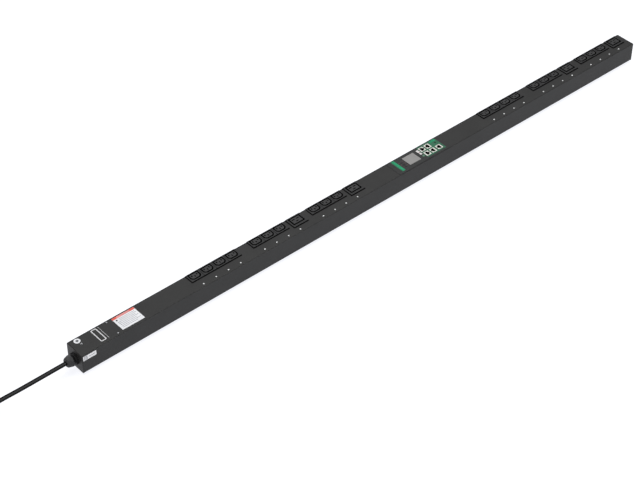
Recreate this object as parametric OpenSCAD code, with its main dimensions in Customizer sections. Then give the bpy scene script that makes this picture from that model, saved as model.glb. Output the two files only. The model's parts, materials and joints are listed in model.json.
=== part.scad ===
// Rack power strip: a long steel channel with a row of small and large appliance
// outlets, a display and network panel in the middle, and a supply lead.
// The strip lies on its back with the outlets up. X runs along it, away from the
// lead; Y points to the edge that holds the outlets; Z points out of the outlets.
// The origin is under the middle of the strip, on the surface that it lies on.

/* [Enclosure] */
// Length of the strip over its end caps
strip_len = 1791; // [1791:1:1850]
// Width of the outlet face
strip_w = 56; // [56:0.5:58]
// Depth from the outlet face to the back
strip_h = 52; // [51:0.5:60]
// Thickness of the sheet steel
sheet_t = 1.2; // [1:0.1:1.4]
// Thickness of each end cap
end_cap_t = 2.5; // [2:0.5:3]

/* [Mounting buttons] */
// Distance between the two mounting buttons
button_span = 1556; // [1500:1:1600]
// Diameter of a button's head
button_head_d = 12; // [11:0.5:13]
// Thickness of a button's head
button_head_t = 2.5; // [2:0.5:3]
// Diameter of a button's neck
button_neck_d = 6.6; // [6:0.2:7]
// Length of a button's neck
button_neck_len = 3.5; // [3:0.5:4]

/* [Outlets] */
// Distance between neighbouring outlets
outlet_pitch = 36; // [36:0.5:37]
// Distance between groups of four outlets
group_pitch = 180; // [180:1:184]
// First outlet of the half with the lead, from that end
first_low = 344; // [340:1:350]
// First outlet of the other half, from the lead's end
first_high = 1275; // [1270:1:1280]
// How far the outlet mouldings stand above the cover
outlet_proud = 2.5; // [1:0.5:4]
// Centre of a small outlet across the face
small_y = 14; // [13.8:0.1:14]
// Centre of a large outlet across the face
large_y = 11.2; // [11:0.1:11.4]
// Large outlet past the last status light of its group
large_shift = 13; // [12:0.5:14]
// Depth of the plug groove round each outlet
groove_depth = 17; // [14:1:18]
// Centre of the status lights across the face
light_y = -18.4; // [-19:0.1:-18.2]

/* [Panel] */
// Start of the display panel, from the lead's end
panel_start = 945; // [940:1:948]
// Length of the display panel
panel_len = 163; // [160:1:166]
// How far the panel stands above the cover
panel_proud = 0.6; // [0.4:0.1:1]
// Diameter of a menu button
menu_d = 6.6; // [6:0.2:7]

/* [Supply lead] */
// Diameter of the cord
cord_d = 10; // [9:0.5:10.5]
// Size across the flats of the gland's nut
gland_flats = 24.6; // [24:0.2:26]
// Diameter of the plug's collar
plug_d = 52; // [50:1:52]

/* [Hidden] */
fine = 48;

// Heights
z_back = button_head_t + button_neck_len;
z_face = z_back + strip_h;
z_in = z_back + sheet_t;
z_outlet = z_face + outlet_proud;
z_panel = z_face + panel_proud;
gland_z = z_back + strip_h / 2;
board_t = 1.6;
board_z = z_face - 28;
board_top = board_z + board_t;
bar_z = board_z - 10;
control_z = z_face - 22.2;
control_top = control_z + board_t;
wall_in = strip_w / 2 - sheet_t;
cover_half = wall_in - 0.1;

// A distance from the lead's end as a position along X
function sx(x) = x - strip_len / 2;
// First outlet, number of small outlets and large outlet of each group of four
firsts = [for (half = [first_low, first_high]) for (k = [0:2]) half + k * group_pitch];
function small_count(g) = g % 3 == 0 ? 4 : 3;
large_groups = [1, 2, 4, 5];
function large_x(g) = firsts[g] + 3 * outlet_pitch + large_shift;

module block(x, y, z) {
    translate([x[0], y[0], z[0]])
        cube([x[1] - x[0], y[1] - y[0], z[1] - z[0]]);
}

module rounded_rect(w, h, r) {
    square([w - 2 * r, h], center = true);
    square([w, h - 2 * r], center = true);
    for (i = [-1, 1])
        for (j = [-1, 1])
            translate([i * (w / 2 - r), j * (h / 2 - r)])
                circle(r, $fn = fine);
}

// A round bar along X, from one distance to another past the end face on the lead's side
module outward(from, to, d, d2 = 0) {
    translate([sx(0) - from, 0, gland_z])
        rotate([0, -90, 0])
            cylinder(h = to - from, d1 = d, d2 = d2 == 0 ? d : d2, $fn = fine);
}

// ---- Enclosure ----

bracket_x = 845;
bracket_dx = 40;
bracket_dy = 30;
cap_screw_x = strip_len / 2 - end_cap_t - 6;
cap_screw_y = 15;
lug_len = 12;

module at_bracket_holes() {
    for (end = [-1, 1])
        for (dx = [-1, 1])
            for (dy = [-1, 1])
                translate([end * bracket_x + dx * bracket_dx / 2, dy * bracket_dy / 2, 0])
                    children();
}

module at_cap_screws() {
    for (end = [-1, 1])
        for (side = [-1, 1])
            translate([end * cap_screw_x, side * cap_screw_y, 0])
                children();
}

module at_mounting_buttons() {
    for (end = [-1, 1])
        translate([end * button_span / 2, 0, 0])
            children();
}

bend_r = 2.4;

// A channel with rounded bends and rounded wall tops, seen along the strip
module channel_section() {
    bend_y = strip_w / 2 - bend_r;
    difference() {
        union() {
            translate([-bend_y, 0]) square([2 * bend_y, bend_r]);
            translate([-strip_w / 2, bend_r]) square([strip_w, strip_h - bend_r - sheet_t / 2]);
            for (side = [-1, 1]) {
                translate([side * bend_y, bend_r]) circle(bend_r, $fn = fine);
                translate([side * (strip_w - sheet_t) / 2, strip_h - sheet_t / 2])
                    circle(d = sheet_t, $fn = fine);
            }
        }
        translate([-bend_y, sheet_t]) square([2 * bend_y, strip_h]);
        translate([-wall_in, bend_r]) square([2 * wall_in, strip_h]);
        for (side = [-1, 1])
            translate([side * bend_y, bend_r]) circle(bend_r - sheet_t, $fn = fine);
    }
}

module along_x(len) {
    translate([-len / 2, 0, 0])
        rotate([90, 0, 90])
            linear_extrude(len)
                children();
}

module rear_channel() {
    color("#3b3b3d")
        difference() {
            translate([0, 0, z_back])
                along_x(strip_len - 2 * end_cap_t)
                    channel_section();
            at_bracket_holes()
                translate([0, 0, z_back - 1]) cylinder(h = sheet_t + 2, d = 4.4, $fn = fine);
            at_cap_screws()
                translate([0, 0, z_back - 1]) cylinder(h = sheet_t + 2, d = 3.3, $fn = fine);
            at_mounting_buttons()
                translate([0, 0, z_back - 1]) cylinder(h = sheet_t + 2, d = 5.2, $fn = fine);
        }
}

flange_h = 7;
cover_r = 1.2;
brace_x = 103;
brace_screw_y = [-20.6, 22.6];
earth_screw_at = [22.5, 4];
light_hole_d = 4.2;
socket_back = 1.5;
socket_y_max = cover_half - sheet_t - 0.1;

module cover_section() {
    difference() {
        union() {
            translate([-cover_half, -flange_h])
                square([2 * cover_half, flange_h - cover_r]);
            translate([-cover_half + cover_r, -cover_r])
                square([2 * (cover_half - cover_r), cover_r]);
            for (side = [-1, 1])
                translate([side * (cover_half - cover_r), -cover_r])
                    circle(cover_r, $fn = fine);
        }
        translate([-cover_half + sheet_t, -flange_h - 1])
            square([2 * (cover_half - sheet_t), flange_h + 1 - sheet_t]);
    }
}

// The cover is in two lengths, with a rail along each side of the panel between them
cover_joints = [panel_start + 5, panel_start + panel_len - 5];
joint_gap = 0.2;

module front_cover() {
    z_cut = [z_face - 2 * sheet_t, z_face + 1];
    color("#3f3e3e")
        difference() {
            translate([0, 0, z_face])
                along_x(strip_len - 2 * end_cap_t)
                    cover_section();
            for (g = [0:5]) {
                start = firsts[g] - outlet_pitch / 2;
                end = start + small_count(g) * outlet_pitch;
                block([sx(start + socket_back), sx(end - socket_back)],
                    [socket_back, socket_y_max], z_cut);
                for (k = [0:3])
                    translate([sx(firsts[g] + k * outlet_pitch), light_y, z_cut[0]])
                        cylinder(h = 5, d = light_hole_d, $fn = fine);
            }
            for (g = large_groups)
                block([sx(large_x(g) - large_w / 2 + socket_back),
                    sx(large_x(g) + large_w / 2 - socket_back)],
                    [large_y0 + socket_back, socket_y_max], z_cut);
            block([sx(panel_start + 2), sx(panel_start + panel_len - 2)], [-24, 24], z_cut);
            for (x = cover_joints)
                block([sx(x) - joint_gap / 2, sx(x) + joint_gap / 2], [-strip_w / 2, strip_w / 2],
                    [z_face - flange_h - 1, z_face + 1]);
            for (y = brace_screw_y)
                translate([sx(brace_x), y, z_cut[0]]) cylinder(h = 5, d = 3.4, $fn = fine);
            translate([sx(earth_screw_at[0]), earth_screw_at[1], z_cut[0]])
                cylinder(h = 5, d = 4.2, $fn = fine);
        }
}

// A bar across the inside that the cover is screwed to
module cover_brace() {
    color("#8a8c90")
        difference() {
            block([sx(brace_x - 7), sx(brace_x + 7)], [-25.3, 25.3],
                [z_face - 8, z_face - sheet_t]);
            block([sx(brace_x - 8), sx(brace_x + 8)], [-16, 18],
                [z_face - 9, z_face - 3]);
            for (y = brace_screw_y)
                translate([sx(brace_x), y, z_face - 9]) cylinder(h = 9, d = 3, $fn = fine);
        }
}

module end_cap(side) {
    outer = side * strip_len / 2;
    inner = outer - side * end_cap_t;
    color("#38383a")
        difference() {
            union() {
                translate([min(outer, inner), 0, z_back + strip_h / 2])
                    rotate([90, 0, 90])
                        linear_extrude(end_cap_t)
                            rounded_rect(strip_w, strip_h, 1.6);
                translate([min(inner, inner - side * lug_len), -22, z_in + 0.05])
                    cube([lug_len, 44, 7]);
            }
            for (s = [-1, 1])
                translate([side * cap_screw_x, s * cap_screw_y, z_back - 1])
                    cylinder(h = 9, d = 3, $fn = fine);
            if (side < 0)
                outward(-end_cap_t - 1, 1, 20.4);
        }
}

module end_cap_cord_side() {
    end_cap(-1);
}

module end_cap_far_side() {
    end_cap(1);
}

// A cross recess in a screw's head; the head's top is at the origin
module cross_recess(w, depth) {
    for (a = [0, 90])
        rotate(a)
            translate([-w / 2, -w / 8, -depth])
                cube([w, w / 4, depth + 1]);
}

// A pan-head screw whose head rests at the origin; the shank points down
module pan_screw(head_d, head_t, shank_d, shank_len) {
    difference() {
        union() {
            cylinder(h = head_t * 0.55, d = head_d, $fn = fine);
            translate([0, 0, head_t * 0.55])
                cylinder(h = head_t * 0.45, d1 = head_d, d2 = head_d * 0.62, $fn = fine);
        }
        translate([0, 0, head_t]) cross_recess(head_d * 0.55, head_t * 0.6);
    }
    translate([0, 0, -shank_len]) cylinder(h = shank_len, d = shank_d, $fn = fine);
}

module end_cap_screws() {
    color("#8d8f92")
        at_cap_screws()
            translate([0, 0, z_back])
                mirror([0, 0, 1]) pan_screw(5.6, 1.9, 2.9, 7);
}

module cover_screws() {
    color("#a7a9ab")
        for (y = brace_screw_y)
            translate([sx(brace_x), y, z_face]) pan_screw(4.6, 1.4, 2.9, 8);
}

module earth_screw() {
    color("#b5b7b8")
        translate([sx(earth_screw_at[0]), earth_screw_at[1], z_face]) {
            translate([0, 0, 0.8]) pan_screw(5.2, 1.6, 3.9, 9);
            difference() {
                cylinder(h = 0.8, d = 6.4, $fn = fine);
                translate([0, 0, -1]) cylinder(h = 3, d = 4.1, $fn = fine);
            }
            translate([0, 0, -8])
                difference() {
                    cylinder(h = 3.2, d = 8, $fn = 6);
                    translate([0, 0, -1]) cylinder(h = 6, d = 4.1, $fn = fine);
                }
        }
}

// Headed buttons that hook into the keyholes of a rack
module mounting_buttons() {
    color("#9b9da0")
        at_mounting_buttons() {
            cylinder(h = 0.4, d1 = button_head_d - 0.8, d2 = button_head_d, $fn = fine);
            translate([0, 0, 0.4])
                cylinder(h = button_head_t - 0.8, d = button_head_d, $fn = fine);
            translate([0, 0, button_head_t - 0.4])
                cylinder(h = 0.4, d1 = button_head_d, d2 = button_head_d - 0.8, $fn = fine);
            translate([0, 0, button_head_t])
                cylinder(h = button_neck_len, d = button_neck_d, $fn = fine);
            translate([0, 0, z_back]) cylinder(h = sheet_t, d = 5, $fn = fine);
            translate([0, 0, z_in]) cylinder(h = 1.2, d = 8, $fn = fine);
        }
}

label_t = 0.15;
rating_x = [116, 178];
rating_y = [-20, 25.3];
side_label_x = [3.2, 39];
side_label_z = [z_back + 35, z_back + 48];
ring_at = [20.5, 17.6];
ring_d = [4.4, 15.6];

// Blank stickers: the rating label, the side label and the ring round the earth point
module labels() {
    color("#e6e6ea") {
        block([sx(rating_x[0]), sx(rating_x[1])], rating_y, [z_face, z_face + label_t]);
        block([sx(side_label_x[0]), sx(side_label_x[1])],
            [-strip_w / 2 - label_t, -strip_w / 2], side_label_z);
        translate([sx(ring_at[0]), ring_at[1], z_face])
            difference() {
                cylinder(h = label_t, d = ring_d[1], $fn = fine);
                translate([0, 0, -1]) cylinder(h = 2, d = ring_d[0], $fn = fine);
            }
    }
}

// ---- Outlets ----

bank_y = [0.2, 27.2];
large_w = 43;
large_y0 = -7;
socket_floor = z_face - 22;
slot_d = 5.2;
slot_w = 2.8;
// Slot centres from the outlet's centre, and the turn of each slot
small_slots = [[-7, 2.6, 0], [7, 2.6, 0], [0, -1.4, 0]];
large_slots = [[-6.5, 4, 90], [6.5, 4, 90], [0, -4, 90]];
large_slot_d = 8;

// Mouth of a small outlet: a rectangle with two cut corners
module small_outline(w, h, cut) {
    polygon([[-w / 2, h / 2], [-w / 2, cut - h / 2], [cut - w / 2, -h / 2],
        [w / 2 - cut, -h / 2], [w / 2, cut - h / 2], [w / 2, h / 2]]);
}

module slots(places, depth) {
    for (s = places)
        translate([s[0], s[1], socket_floor - 1])
            rotate(s[2])
                translate([-slot_w / 2, -depth / 2, 0])
                    cube([slot_w, depth, z_outlet - socket_floor + 2]);
}

module small_socket() {
    translate([0, 0, z_outlet - groove_depth])
        linear_extrude(groove_depth + 1)
            difference() {
                small_outline(29, 21.3, 6);
                small_outline(24.4, 16.2, 4.6);
            }
    slots(small_slots, slot_d);
}

module large_socket() {
    translate([0, 0, z_outlet - groove_depth])
        linear_extrude(groove_depth + 1)
            difference() {
                rounded_rect(34, 25, 2);
                rounded_rect(28.6, 19.8, 1.2);
            }
    slots(large_slots, large_slot_d);
}

// One moulding with a row of small outlets
module outlet_bank(g) {
    start = sx(firsts[g] - outlet_pitch / 2);
    end = start + small_count(g) * outlet_pitch;
    inset = socket_back + 0.1;
    color("#4d4d4f")
        difference() {
            union() {
                block([start, end], bank_y, [z_face, z_outlet]);
                block([start + inset, end - inset], [inset, socket_y_max - 0.1],
                    [socket_floor, z_face]);
            }
            for (k = [0:small_count(g) - 1])
                translate([sx(firsts[g] + k * outlet_pitch), small_y, 0])
                    small_socket();
        }
}

module large_outlet(g) {
    x = sx(large_x(g));
    inset = socket_back + 0.1;
    color("#4d4d4f")
        difference() {
            union() {
                block([x - large_w / 2, x + large_w / 2], [large_y0, bank_y[1]],
                    [z_face, z_outlet]);
                block([x - large_w / 2 + inset, x + large_w / 2 - inset],
                    [large_y0 + inset, socket_y_max - 0.1], [socket_floor, z_face]);
            }
            translate([x, large_y, 0]) large_socket();
        }
}

// A spring contact inside a slot: two leaves on a foot, with a tail to the board
module contact(depth) {
    leaf_t = 0.4;
    foot_z = socket_floor + 1.5;
    w = depth - 0.6;
    for (side = [-1, 1])
        translate([side * 1.05 - leaf_t / 2, -w / 2, foot_z])
            cube([leaf_t, w, z_outlet - foot_z - 4]);
    translate([-1.25, -w / 2, foot_z]) cube([2.5, w, 0.6]);
    translate([-0.4, -1.5, board_top]) cube([0.8, 3, foot_z - board_top]);
}

module contacts(places, depth) {
    for (s = places)
        translate([s[0], s[1], 0])
            rotate(s[2])
                contact(depth);
}

module small_contacts() {
    color("#c9a24a")
        for (g = [0:5])
            for (k = [0:small_count(g) - 1])
                translate([sx(firsts[g] + k * outlet_pitch), small_y, 0])
                    contacts(small_slots, slot_d);
}

module large_contacts() {
    color("#c9a24a")
        for (g = large_groups)
            translate([sx(large_x(g)), large_y, 0])
                contacts(large_slots, large_slot_d);
}

light_chip_h = 1.2;

// A clear rod over each status lamp, with a domed tip and a collar under the cover
module status_light_pipes() {
    foot = board_top + light_chip_h;
    color("#dfe3e4")
        for (g = [0:5])
            for (k = [0:3])
                translate([sx(firsts[g] + k * outlet_pitch), light_y, 0]) {
                    translate([0, 0, foot])
                        cylinder(h = z_face + 0.3 - foot, d = 3.8, $fn = 24);
                    translate([0, 0, z_face + 0.3])
                        cylinder(h = 0.6, d1 = 3.8, d2 = 2.4, $fn = 24);
                    translate([0, 0, z_face - sheet_t - 1.2])
                        cylinder(h = 1.1, d = 6, $fn = 24);
                }
}

// ---- Electronics ----

board_half = 25;
relay_size = [29, 10, 15.7];
relay_y = -11;

// A board under each group of four outlets, with a lamp for each outlet
module outlet_boards() {
    color("#2f6b45")
        for (first = firsts) {
            block([sx(first - 20), sx(first + 148)], [-board_half, board_half],
                [board_z, board_top]);
            for (k = [0:3])
                translate([sx(first + k * outlet_pitch), light_y, board_top])
                    translate([-1.6, -1.4, 0])
                        cube([3.2, 2.8, light_chip_h]);
        }
}

module relays() {
    color("#2a2b2e")
        for (g = [0:5])
            for (k = [0:3])
                translate([sx(firsts[g] + k * outlet_pitch), relay_y, board_top]) {
                    translate([-relay_size[0] / 2, -relay_size[1] / 2, 0.4])
                        cube(relay_size - [0, 0, 1]);
                    translate([-relay_size[0] / 2 + 1, -relay_size[1] / 2 + 1, 0])
                        cube(relay_size - [2, 2, 0]);
                }
}

bar_y = [-16, 0, 16];
bar_t = 1.6;
bar_w = 10;
bar_x = [214, 1782];
holder_t = 6;
// Places of the posts, and the height of what each carries
holders = concat([for (first = firsts) for (dx = [8, 110]) [first + dx, board_z]],
    [[236, board_z], [296, board_z], [960, control_z], [1030, control_z], [1094, control_z]]);

// Line, neutral and earth bars with a riser to each board
module busbars() {
    color("#b87a4b")
        for (y = bar_y) {
            block([sx(bar_x[0]), sx(bar_x[1])], [y - bar_w / 2, y + bar_w / 2],
                [bar_z, bar_z + bar_t]);
            for (g = [0:5])
                block([sx(firsts[g] + 60), sx(firsts[g] + 66)], [y - 0.8, y + 0.8],
                    [bar_z + bar_t, board_z]);
        }
}

// Posts that carry the bars and hold up the boards
module busbar_holders() {
    color("#d8d4c8")
        for (h = holders)
            difference() {
                block([sx(h[0] - holder_t / 2), sx(h[0] + holder_t / 2)], [-23, 23],
                    [z_in + 0.6, h[1]]);
                for (y = bar_y)
                    block([sx(h[0] - holder_t), sx(h[0] + holder_t)],
                        [y - bar_w / 2 - 0.1, y + bar_w / 2 + 0.1],
                        [bar_z - 0.1, bar_z + bar_t + 0.1]);
            }
}

module insulating_liner() {
    color("#e3dcc2")
        difference() {
            block([-868, 868], [-24, 24], [z_in + 0.1, z_in + 0.6]);
            at_mounting_buttons()
                translate([0, 0, z_in - 1]) cylinder(h = 3, d = 10, $fn = fine);
            at_bracket_holes()
                translate([0, 0, z_in - 1]) cylinder(h = 3, d = 7, $fn = fine);
        }
}

wire_d = 3.8;
wire_z = bar_z + 1;
terminal_x = [190, 214];

module terminal_block() {
    color("#cfd3d6")
        difference() {
            block([sx(terminal_x[0]), sx(terminal_x[1])], [-21.5, 21.5],
                [z_in + 0.6, wire_z + 6]);
            for (y = bar_y) {
                translate([sx(terminal_x[0] - 1), y * 0.875, wire_z])
                    rotate([0, 90, 0])
                        cylinder(h = 11, d = wire_d + 0.6, $fn = 24);
                translate([sx(terminal_x[0] + 8), y * 0.875, wire_z + 3])
                    cylinder(h = 4, d = 4, $fn = 24);
            }
        }
}

sensor_x = [150, 162];

// A ring core round the line wire, on a foot
module current_sensor() {
    color("#23406a")
        difference() {
            union() {
                translate([sx(sensor_x[0]), bar_y[0] * 0.875, wire_z])
                    rotate([0, 90, 0])
                        cylinder(h = sensor_x[1] - sensor_x[0], d = 23, $fn = fine);
                block([sx(sensor_x[0]), sx(sensor_x[1])],
                    [bar_y[0] * 0.875 - 7, bar_y[0] * 0.875 + 7], [z_in + 0.6, wire_z - 7]);
            }
            translate([sx(sensor_x[0] - 1), bar_y[0] * 0.875, wire_z])
                rotate([0, 90, 0])
                    cylinder(h = sensor_x[1] - sensor_x[0] + 2, d = 11, $fn = fine);
        }
}

// The mains to low-voltage supply of the electronics
module power_supply() {
    color("#1f2022") {
        block([sx(238), sx(294)], [-20, 20], [board_z, board_z + 2]);
        block([sx(240), sx(292)], [-18, 18], [board_z + 2, board_z + 20]);
    }
}

sheath_end = 20;
wire_spread = [34, 180];

// A wire's route: straight out of the cord, an easy sweep sideways, straight to its terminal
function wire_route(turn, y) =
    let (from = [2.3 * sin(turn), gland_z + 2.3 * cos(turn)])
    concat([[sx(sheath_end), from[0], from[1]]],
        [for (i = [0:8])
            let (f = i / 8, ease = f * f * (3 - 2 * f))
            [sx(wire_spread[0] + f * (wire_spread[1] - wire_spread[0])),
                from[0] + ease * (y - from[0]), from[1] + ease * (wire_z - from[1])]],
        [[sx(terminal_x[0] + 8), y, wire_z]]);

// Line, neutral and earth from the cord to the terminals
module supply_wires() {
    color("#6b4128") tube(wire_route(240, bar_y[0] * 0.875), wire_d, 8);
    color("#2d5fa8") tube(wire_route(0, bar_y[1]), wire_d, 8);
    color("#7da23a") tube(wire_route(120, bar_y[2] * 0.875), wire_d, 8);
}

// ---- Display and network panel ----

bezel_y = 26;
bezel_plug = 3.6;
bezel_under = z_face - bezel_plug;
overlay_t = 0.25;
overlay_top = z_panel + overlay_t;
menu_x = 980;
menu_y = [9, 0, -9];
menu_gap = 0.3;
lcd_x = [990, 1027];
lcd_y = [-14, 18];
indicator_x = [1036.3, 1042.7];
indicator_y = [[7, 17], [-2, 5], [-11, -6]];
reset_at = [1097, 11];
reset_d = 3.2;
// Centre of each network jack, and which way its latch notch points
jacks = [[1053.5, 12.3, 1], [1072.6, 12.3, -1], [1053.5, -7.5, 1], [1072.6, -7.5, -1],
    [1093, -7.5, -1]];
jack_size = [15.2, 16];
jack_top = overlay_top;
mouth_depth = 14;

// Everything that the panel's sheet and its overlay leave open
module panel_openings(z) {
    for (y = menu_y)
        translate([sx(menu_x), y, z[0]])
            cylinder(h = z[1] - z[0], d = menu_d + 2 * menu_gap, $fn = fine);
    translate([sx(reset_at[0]), reset_at[1], z[0]])
        cylinder(h = z[1] - z[0], d = reset_d + 0.8, $fn = fine);
    block([sx(lcd_x[0]), sx(lcd_x[1])], lcd_y, z);
    for (y = indicator_y)
        block([sx(indicator_x[0]), sx(indicator_x[1])], y, z);
    for (j = jacks)
        translate([sx(j[0]), j[1], (z[0] + z[1]) / 2])
            cube([jack_size[0] + 0.4, jack_size[1] + 0.4, z[1] - z[0]], center = true);
}

module display_bezel() {
    color("#55565a")
        difference() {
            union() {
                block([sx(panel_start), sx(panel_start + panel_len)], [-bezel_y, bezel_y],
                    [z_face, z_panel]);
                block([sx(panel_start + 2.2), sx(panel_start + panel_len - 2.2)],
                    [-23.8, 23.8], [bezel_under, z_face]);
            }
            panel_openings([bezel_under - 1, z_panel + 1]);
        }
}

module panel_overlay() {
    color("#4f5351")
        difference() {
            block([sx(panel_start + 1), sx(panel_start + panel_len - 1)],
                [1 - bezel_y, bezel_y - 1], [z_panel, overlay_top]);
            panel_openings([z_panel - 1, overlay_top + 1]);
        }
}

display_z = z_face - 11;
display_top = display_z + board_t;

module display_board() {
    color("#2f6b45")
        block([sx(972), sx(1031)], [-22, 22], [display_z, display_top]);
}

module lcd_panel() {
    color("#9b9998") {
        block([sx(lcd_x[0] - 2), sx(lcd_x[1] + 2)], [lcd_y[0] - 2, lcd_y[1] + 2],
            [display_top, bezel_under - 0.1]);
        block([sx(lcd_x[0] + 0.4), sx(lcd_x[1] - 0.4)], [lcd_y[0] + 0.4, lcd_y[1] - 0.4],
            [bezel_under - 0.1, z_face - 1]);
    }
}

module lcd_window() {
    color("#c9cccb", 0.5)
        block([sx(lcd_x[0] + 0.2), sx(lcd_x[1] - 0.2)], [lcd_y[0] + 0.2, lcd_y[1] - 0.2],
            [z_face - 0.9, overlay_top]);
}

module indicator_windows() {
    color("#e8eae6")
        for (y = indicator_y)
            block([sx(indicator_x[0] + 0.1), sx(indicator_x[1] - 0.1)],
                [y[0] + 0.1, y[1] - 0.1], [z_face - 5, overlay_top + 0.2]);
}

switch_h = 3.5;
stem_d = 3;
reset_switch_h = 4.3;

// A square push switch with a hole for the stem of the button above it
module push_switch(h, hole_d) {
    difference() {
        translate([-3, -3, 0]) cube([6, 6, h]);
        translate([0, 0, h - 2]) cylinder(h = 3, d = hole_d, $fn = fine);
    }
}

module button_switches() {
    color("#1c1d1f") {
        for (y = menu_y)
            translate([sx(menu_x), y, display_top]) push_switch(switch_h, stem_d + 0.6);
        translate([sx(reset_at[0]), reset_at[1], control_top])
            push_switch(reset_switch_h, 2.4 + 0.6);
    }
}

// A menu button: cap, retaining flange under the panel, and stem into its switch
module menu_button(y) {
    flange_z = bezel_under - 1.5;
    stem_z = display_top + switch_h - 1.2;
    color("#3a3b3e")
        translate([sx(menu_x), y, 0]) {
            translate([0, 0, flange_z + 1.4])
                cylinder(h = overlay_top + 0.3 - flange_z - 1.4, d = menu_d, $fn = fine);
            translate([0, 0, overlay_top + 0.3])
                cylinder(h = 0.3, d1 = menu_d, d2 = menu_d - 0.6, $fn = fine);
            translate([0, 0, flange_z]) cylinder(h = 1.4, d = 8.4, $fn = fine);
            translate([0, 0, stem_z]) cylinder(h = flange_z - stem_z, d = stem_d, $fn = fine);
        }
}

module menu_button_1() {
    menu_button(menu_y[0]);
}

module menu_button_2() {
    menu_button(menu_y[1]);
}

module menu_button_3() {
    menu_button(menu_y[2]);
}

// The reset button sits below the panel's face and is pushed with a pointed thing
module reset_button() {
    flange_z = bezel_under - 1.7;
    stem_z = control_top + reset_switch_h - 1.2;
    color("#1d1e20")
        translate([sx(reset_at[0]), reset_at[1], 0]) {
            translate([0, 0, flange_z + 1.6])
                cylinder(h = z_face - flange_z - 1.6, d = reset_d, $fn = fine);
            translate([0, 0, flange_z]) cylinder(h = 1.6, d = 5.6, $fn = fine);
            translate([0, 0, stem_z]) cylinder(h = flange_z - stem_z, d = 2.4, $fn = fine);
        }
}

module controller_board() {
    color("#2f6b45") {
        block([sx(950), sx(1104)], [-24, 24], [control_z, control_top]);
        block([sx(1000), sx(1016)], [-8, 8], [control_top, control_top + 1.6]);
        block([sx(1024), sx(1036)], [-18, -8], [control_top, control_top + 2.4]);
        block([sx(958), sx(970)], [-6, 6], [control_top, control_top + 9]);
    }
}

module network_jack(i) {
    place = jacks[i];
    color("#d5d7d3")
        translate([sx(place[0]), place[1], 0])
            mirror([place[2] < 0 ? 1 : 0, 0, 0])
                difference() {
                    block([-jack_size[0] / 2, jack_size[0] / 2],
                        [-jack_size[1] / 2, jack_size[1] / 2], [control_top, jack_top]);
                    block([-4, 3], [-5.9, 5.9], [jack_top - mouth_depth, jack_top + 1]);
                    block([2.5, 4.6], [-3.1, 3.1], [jack_top - mouth_depth, jack_top + 1]);
                    block([4.5, 6.2], [-1.9, 1.9], [jack_top - mouth_depth, jack_top + 1]);
                }
}

module network_jack_1() {
    network_jack(0);
}

module network_jack_2() {
    network_jack(1);
}

module network_jack_3() {
    network_jack(2);
}

module network_jack_4() {
    network_jack(3);
}

module network_jack_5() {
    network_jack(4);
}

module outlet_bank_1() {
    outlet_bank(0);
}

module outlet_bank_2() {
    outlet_bank(1);
}

module outlet_bank_3() {
    outlet_bank(2);
}

module outlet_bank_4() {
    outlet_bank(3);
}

module outlet_bank_5() {
    outlet_bank(4);
}

module outlet_bank_6() {
    outlet_bank(5);
}

module large_outlet_1() {
    large_outlet(large_groups[0]);
}

module large_outlet_2() {
    large_outlet(large_groups[1]);
}

module large_outlet_3() {
    large_outlet(large_groups[2]);
}

module large_outlet_4() {
    large_outlet(large_groups[3]);
}

// ---- Gland and supply lead ----

// Distances here are counted outwards from the end face
gland_flange = 5.5;
nut_start = 9.5;
nut_end = 24.5;

module outward_hex(from, to, flats) {
    translate([sx(0) - from, 0, gland_z])
        rotate([0, -90, 0])
            cylinder(h = to - from, d = flats / cos(30), $fn = 6);
}

module gland_body() {
    color("#161617")
        difference() {
            union() {
                outward_hex(0, gland_flange, 26.6);
                outward(gland_flange, 15, 19);
                outward(-10.5, 0, 20);
            }
            outward(-11.5, 16, 13.8);
        }
}

module gland_locknut() {
    color("#1d1d1f")
        difference() {
            outward_hex(-8.5, -end_cap_t - 0.1, 26);
            outward(-9.5, 0, 20.2);
        }
}

module gland_seal() {
    color("#101011")
        difference() {
            outward(3, 21.5, 13.6);
            outward(2, 22.5, cord_d + 0.2);
        }
}

// The nut is a hexagon turned down to a dome
module gland_dome_nut() {
    color("#3a3a3c")
        difference() {
            intersection() {
                outward_hex(nut_start, nut_end, gland_flats + 0.8);
                translate([sx(0), 0, gland_z])
                    rotate([0, -90, 0])
                        rotate_extrude($fn = fine)
                            polygon([[0, nut_start], [12.8, nut_start], [13.4, 10.3],
                                [13.4, 13], [10.9, 22.5], [9.6, 24], [8.4, nut_end],
                                [0, nut_end]]);
            }
            outward(nut_start - 1, 16, 19.4);
            outward(15, 22, 14.2);
            outward(21, nut_end + 1, cord_d + 0.9);
        }
}

hank_x = -1195;
hank_y = 20;
hank_straight = 90;
hank_z = 1;
turn_r = 38;
// From inside the gland to the top of the hank
lead_route = [[-876, 0, 32], [-896, 0, 32], [-920, 0, 32], [-945, 0, 32], [-970, 0, 31.8],
    [-995, 0, 31.6], [-1020, 0, 31.5], [-1045, 0, 31.6], [-1070, 0, 32.2], [-1090, -1, 33.4],
    [-1110, -5, 35], [-1130, -12, 36], [-1150, -18, 35.2]];
// From the bottom of the hank to the plug
tail_route = [[-1240, -23, 6], [-1265, -23, 6], [-1290, -22, 7], [-1310, -18, 10.5],
    [-1330, -10.5, 16.5], [-1350, -3.5, 22.5], [-1370, 0, 25.6], [-1385, 0, 26]];

function unit(v) = v / norm(v);
function heading(path, i) = unit(path[min(i + 1, len(path) - 1)] - path[max(i - 1, 0)]);
function ring(path, i, r, sides) =
    let (ahead = heading(path, i), across = unit(cross([0, 0, 1], ahead)))
    let (up = cross(ahead, across))
    [for (k = [0:sides - 1])
        path[i] + r * cos(360 * k / sides) * across + r * sin(360 * k / sides) * up];

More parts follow.
